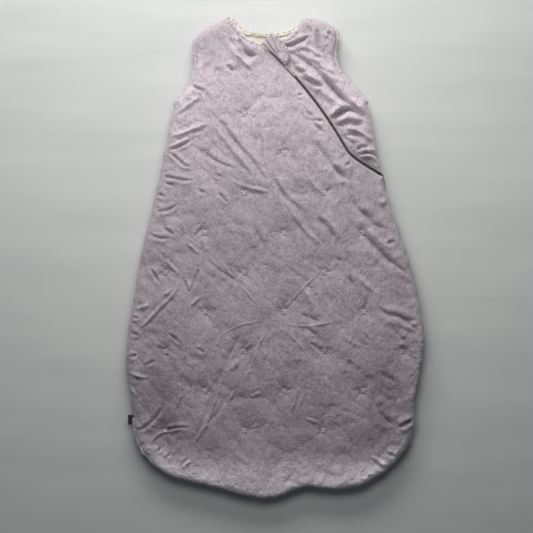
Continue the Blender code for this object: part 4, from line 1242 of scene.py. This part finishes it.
def folded_tag():
    """Blank woven tag, one strip folded over at its outer end, with its two cut ends in the side seam."""
    low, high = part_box("side_label")
    half = TAG_HALF
    middle = (low.z + high.z) / 2
    bend = np.linspace(pi / 2, 3 * pi / 2, 9)
    flat = np.linspace(high.x + 2.5 * MM, low.x + half, 12)
    x = np.concatenate([flat, low.x + half + half * np.cos(bend[1:-1]), flat[::-1]])
    z = np.concatenate([np.full(12, half), half * np.sin(bend[1:-1]), np.full(12, -half)])
    plan = np.column_stack([x, z])
    normal = left_of(unit(np.gradient(plan, axis=0))) * TAG_CLOTH
    ring = np.concatenate([plan + normal, (plan - normal)[::-1]])
    rows = []
    for share in np.linspace(0, 1, TAG_ROWS):
        sag = 0.45 * MM * np.sin(2.6 * share + 0.4) * np.clip((high.x - ring[:, 0]) / (high.x - low.x), 0, 1)
        y = np.full(len(ring), low.y + (high.y - low.y) * share)
        rows.append(np.column_stack([ring[:, 0], y, middle + ring[:, 1] + sag]))
    points = np.stack(rows).reshape(-1, 3)
    count = len(ring)
    faces = tube_sides(TAG_ROWS, count)
    for row, turn in ((0, 1), (TAG_ROWS - 1, -1)):
        for k in range(count // 2 - 1):
            a, b = row * count + k, row * count + k + 1
            c, d = row * count + count - 2 - k, row * count + count - 1 - k
            faces.append((a, b, c, d)[::turn])
    return mesh_of("folded_side_tag", [(points, faces)], LABEL, smooth=False)


# share of painted sheen and highlight on the fibres, partly open pile
FIBRE_LIFT = 0.6


def fibres(name, roots, outward, count, low, high, material, seed):
    """Short tapered tufts of pile standing out of an edge, rooted along it and pointing outward."""
    table = np.random.default_rng(seed)
    vertices, faces = [], []
    for _ in range(count):
        at = table.integers(len(roots) - 1)
        share = table.random()
        base = roots[at] * (1 - share) + roots[at + 1] * share
        way = outward[at] + table.normal(0, 0.35, 3)
        way /= np.linalg.norm(way)
        side = np.cross(way, table.normal(0, 1, 3))
        side /= np.linalg.norm(side)
        over = np.cross(way, side)
        length = table.uniform(low, high)
        width = table.uniform(0.35, 0.75) * MM
        bend = table.normal(0, 0.18, 3) * length
        first = len(vertices)
        for reach, size in ((-0.25, 1.0), (0.5, 0.8)):
            for turn in (0, 2.1, 4.2):
                vertices.append(base + way * length * reach + bend * max(reach, 0) ** 2
                                + (side * cos(turn) + over * sin(turn)) * width * size)
        vertices.append(base + way * length + bend)
        for k in range(3):
            j = (k + 1) % 3
            faces.append((first + k, first + j, first + 3 + j, first + 3 + k))
            faces.append((first + 3 + k, first + 3 + j, first + 6))
        faces.append((first + 2, first + 1, first))
    obj = mesh_of(name, [(vertices, faces)], material)
    give_fields(obj, FIBRE_LIFT)
    return obj


# ---------------------------------------------------------------- the scene

front_pad, front_height = make_front_pad("front_quilt", front_rim(), CREASES_MM, RIDGES_MM, 41)
chest_pad, _ = make_front_pad("right_chest_quilt", chest_rim(), CHEST_CREASES_MM, CHEST_RIDGES_MM, 61, 1.35)
back_pad, back_height = make_back_pad()
for pad in (front_pad, chest_pad, back_pad):
    paint(pad, VELOUR)
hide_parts("left_front_outer", "left_front_wadding", "flap_outer", "flap_wadding")
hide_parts("right_front_outer", "right_front_wadding")
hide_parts("back_outer", "back_wadding")


def bend_at_fold(obj):
    """Bakes a piece's transform into its mesh; the piece is not bent across the fold line."""
    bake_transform(obj)


LINING_INSET = 2.2 * MM


def lining_rim(loop, edge, _=None):
    """A rim moved in a little, so that the lining stays behind its quilt's edge."""
    moved = loop - left_of(around(loop)) * LINING_INSET
    keep = to_line(moved, loop)[0] > LINING_INSET - 0.3 * MM
    keep &= inside(moved, loop)
    return moved[keep], edge[keep]


front_lining = make_lining("front_lining", *lining_rim(*front_rim()), PAD_INNER, -1, 71)
chest_lining = make_lining("right_chest_lining", *lining_rim(*chest_rim()), PAD_INNER, -1, 75)
back_lining = make_lining("back_lining_sheet", *lining_rim(OUTLINE, BACK_EDGE),
                          FLOOR_LINING - 0.1 * MM, 1, 79)
for lining, nodes, rests in ((front_lining, ("left_front_lining", "flap_lining"), front_pad),
                             (chest_lining, ("right_front_lining",), chest_pad),
                             (back_lining, ("back_lining", "back_neck_facing"), back_pad)):
    paint(lining, JERSEY)
    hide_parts(*nodes)

bend_at_fold(front_pad)
bend_at_fold(front_lining)
for obj in (chest_pad, back_pad, chest_lining, back_lining):
    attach(obj, "root")

LEAST_HEIGHT = 0.2 * MM                         # the back's threads stay this far above the floor
stitching = np.random.default_rng(91)
for name, site in zip(TUFT_NAMES, TUFTS):
    body = "flap" if (site - FOLD_TOP) @ FOLD_ACROSS > 0 else "root"
    cross = mesh_of(f"stitch_{name[-2:]}", cross_strands(site, front_height, stitching), THREAD)
    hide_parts(name)
    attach(cross, body)

    strands = []
    for points, faces in cross_strands(site, lambda plan: -back_height(plan), stitching):
        strands.append(([(v.x, v.y, max(-v.z, LEAST_HEIGHT)) for v in points], faces))
    under = mesh_of(f"back_stitch_{name[-2:]}", strands, THREAD)
    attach(under, "root")

def outward_of(line, rise):
    """Directions to the left of a line, tilted up by a rise."""
    return np.column_stack([left_of(unit(np.gradient(line, axis=0))), np.full(len(line), rise)])


hem_run = wander(outline_run(metres((262, -300)), metres((-262, -300))))
hem_out = outward_of(hem_run, 0.25)
for layer, height, inset, count in (("upper", MIDDLE + 5.5 * MM, 1.2 * MM, 1700),
                                    ("lower", MIDDLE + 4.6 * MM, 0.4 * MM, 1500)):
    roots = lifted(hem_run - hem_out[:, :2] * inset, height)
    pile = fibres(f"hem_pile_{layer}", roots, hem_out, count, 1.6 * MM, 4.6 * MM, VELOUR, 131)
    bend_at_fold(pile)

for node, material in (("right_zip_coil", COIL), ("flap_zip_coil", COIL), ("right_zip_tape", TAPE),
                       ("flap_zip_tape", TAPE), ("zip_slider", METAL), ("zip_pull", METAL),
                       ("right_top_stop", METAL), ("flap_top_stop", METAL), ("bottom_stop", METAL)):
    paint(frame["nodes"][node], material)

for side in ("left", "right"):
    node = f"{side}_armhole_binding"
    for layer, up in (("front", 1), ("back", -1)):
        line = armhole_line(node, MIDDLE + up * (OPEN_HALF + 1.0 * MM))
        roll = rolled_edge(f"{side}_armhole_{layer}_edge", line, 3.9 * MM, 101, VELOUR)
        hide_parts(node)
        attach(roll, "root")

neck_left = spaced(curve_through(metres(NECK_LEFT_MM + [(-38, 399), (-26, 396)])), 2 * MM)
neck_right = spaced(curve_through(metres(NECK_RIGHT_MM)), 2 * MM)
back_neck = outline_run(metres(NECK_LEFT_MM[0]), metres(NECK_RIGHT_MM[-1]))
# (name, line, height, radius, seed, material, gather, lift, slot, replaced nodes)
NECK_ROLLS = [
    ("left_neck_edge", neck_left[1:], 31.5 * MM, 4.6 * MM, 111, VELOUR, 0.2, 0.35,
     "velour", ("left_neck_binding", "flap_neck_binding")),
    ("left_neck_lining_edge", neck_left[1:] + metres((1.6, 1.8)), 28.6 * MM, 3.4 * MM, 113, FLEECE, 0.3, 0.4,
     "lining", ()),
    ("right_neck_band_roll", neck_right + metres((0, -1)), 33.5 * MM, 5.6 * MM, 115, VELOUR, 0.2, 0.3,
     "velour", ("right_neck_band",)),
    ("right_neck_lining_edge", neck_right + metres((0, 3)), 27.5 * MM, 3.2 * MM, 117, FLEECE, 0.3, 0.4,
     "lining", ()),
    ("back_neck_edge", back_neck, MIDDLE - 3.5 * MM, 3.8 * MM, 119, FLEECE, 0.3, 0.4,
     "lining", ()),
]
for name, line, height, radius, seed, material, gather, lift, slot, nodes in NECK_ROLLS:
    roll = rolled_edge(name, lifted(line, height), radius, seed, material, gather, lift)
    if nodes:
        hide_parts(*nodes)
    if name.startswith("left"):
        bend_at_fold(roll)
    else:
        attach(roll, "root")

for name, line, height in (("left_neck_fleece", neck_left, 30 * MM), ("back_neck_fleece", back_neck, MIDDLE)):
    way = outward_of(line, 0.5)
    roots = lifted(line + way[:, :2] * 1.5 * MM, height)
    pile = fibres(name, roots, way, 420, 1.5 * MM, 3.6 * MM, FLEECE, 133)
    if name.startswith("left"):
        bend_at_fold(pile)
    else:
        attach(pile, "root")

guard_pad = pleated_guard()
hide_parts("zip_guard")
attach(guard_pad, "guard")
tag = folded_tag()
keep_rest(tag)
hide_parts("side_label")
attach(tag, "root")
wind_sheet = hanging_wind_flap()
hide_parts("wind_flap")
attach(wind_sheet, "root")

floor_material = Nodes("floor_paint", 0.75)
veins = floor_material.noise(floor_material.object_place((0.35, 2.2, 1.0)), 9, 5.0)
floor_colour = floor_material.mix(floor_material.range(veins, 0.3, 0.7, 0.0, 1.0), (0.60, 0.612, 0.606, 1),
                                  (0.66, 0.67, 0.655, 1))
floor_material.finish(floor_colour)
bpy.ops.mesh.primitive_plane_add(size=8.0)
floor = bpy.context.active_object
floor.name = "floor"
paint(floor, floor_material.material)

VIEW_WIDTH = 1.002
CAMERA_HEIGHT = 2.3
camera_data = bpy.data.cameras.new("camera")
camera_data.sensor_width = 36.0
camera_data.lens = camera_data.sensor_width * (CAMERA_HEIGHT - MIDDLE) / VIEW_WIDTH
camera = bpy.data.objects.new("camera", camera_data)
camera.location = (-0.016, -0.017, CAMERA_HEIGHT)
bpy.context.scene.collection.objects.link(camera)
bpy.context.scene.camera = camera


def area_light(name, place, target, size, power, colour):
    data = bpy.data.lights.new(name, "AREA")
    data.shape = "RECTANGLE"
    data.size, data.size_y = size
    data.energy = power
    data.color = colour
    lamp = bpy.data.objects.new(name, data)
    lamp.location = place
    lamp.rotation_euler = (Vector(target) - Vector(place)).to_track_quat("-Z", "Y").to_euler()
    bpy.context.scene.collection.objects.link(lamp)


area_light("window", (-0.16, 1.38, 0.74), (0, 0.0, 0), (1.4, 0.45), 19.5, (1.0, 0.99, 0.97))
area_light("ceiling", (-0.05, 0.46, 1.10), (0, 0.36, 0), (0.8, 0.6), 5.8, (1.0, 1.0, 0.98))
world = bpy.data.worlds.new("room")
world.use_nodes = True
world.node_tree.nodes["Background"].inputs["Color"].default_value = (0.78, 0.88, 1.0, 1)
world.node_tree.nodes["Background"].inputs["Strength"].default_value = 0.07
bpy.context.scene.world = world
bpy.context.scene.view_settings.view_transform = "Standard"
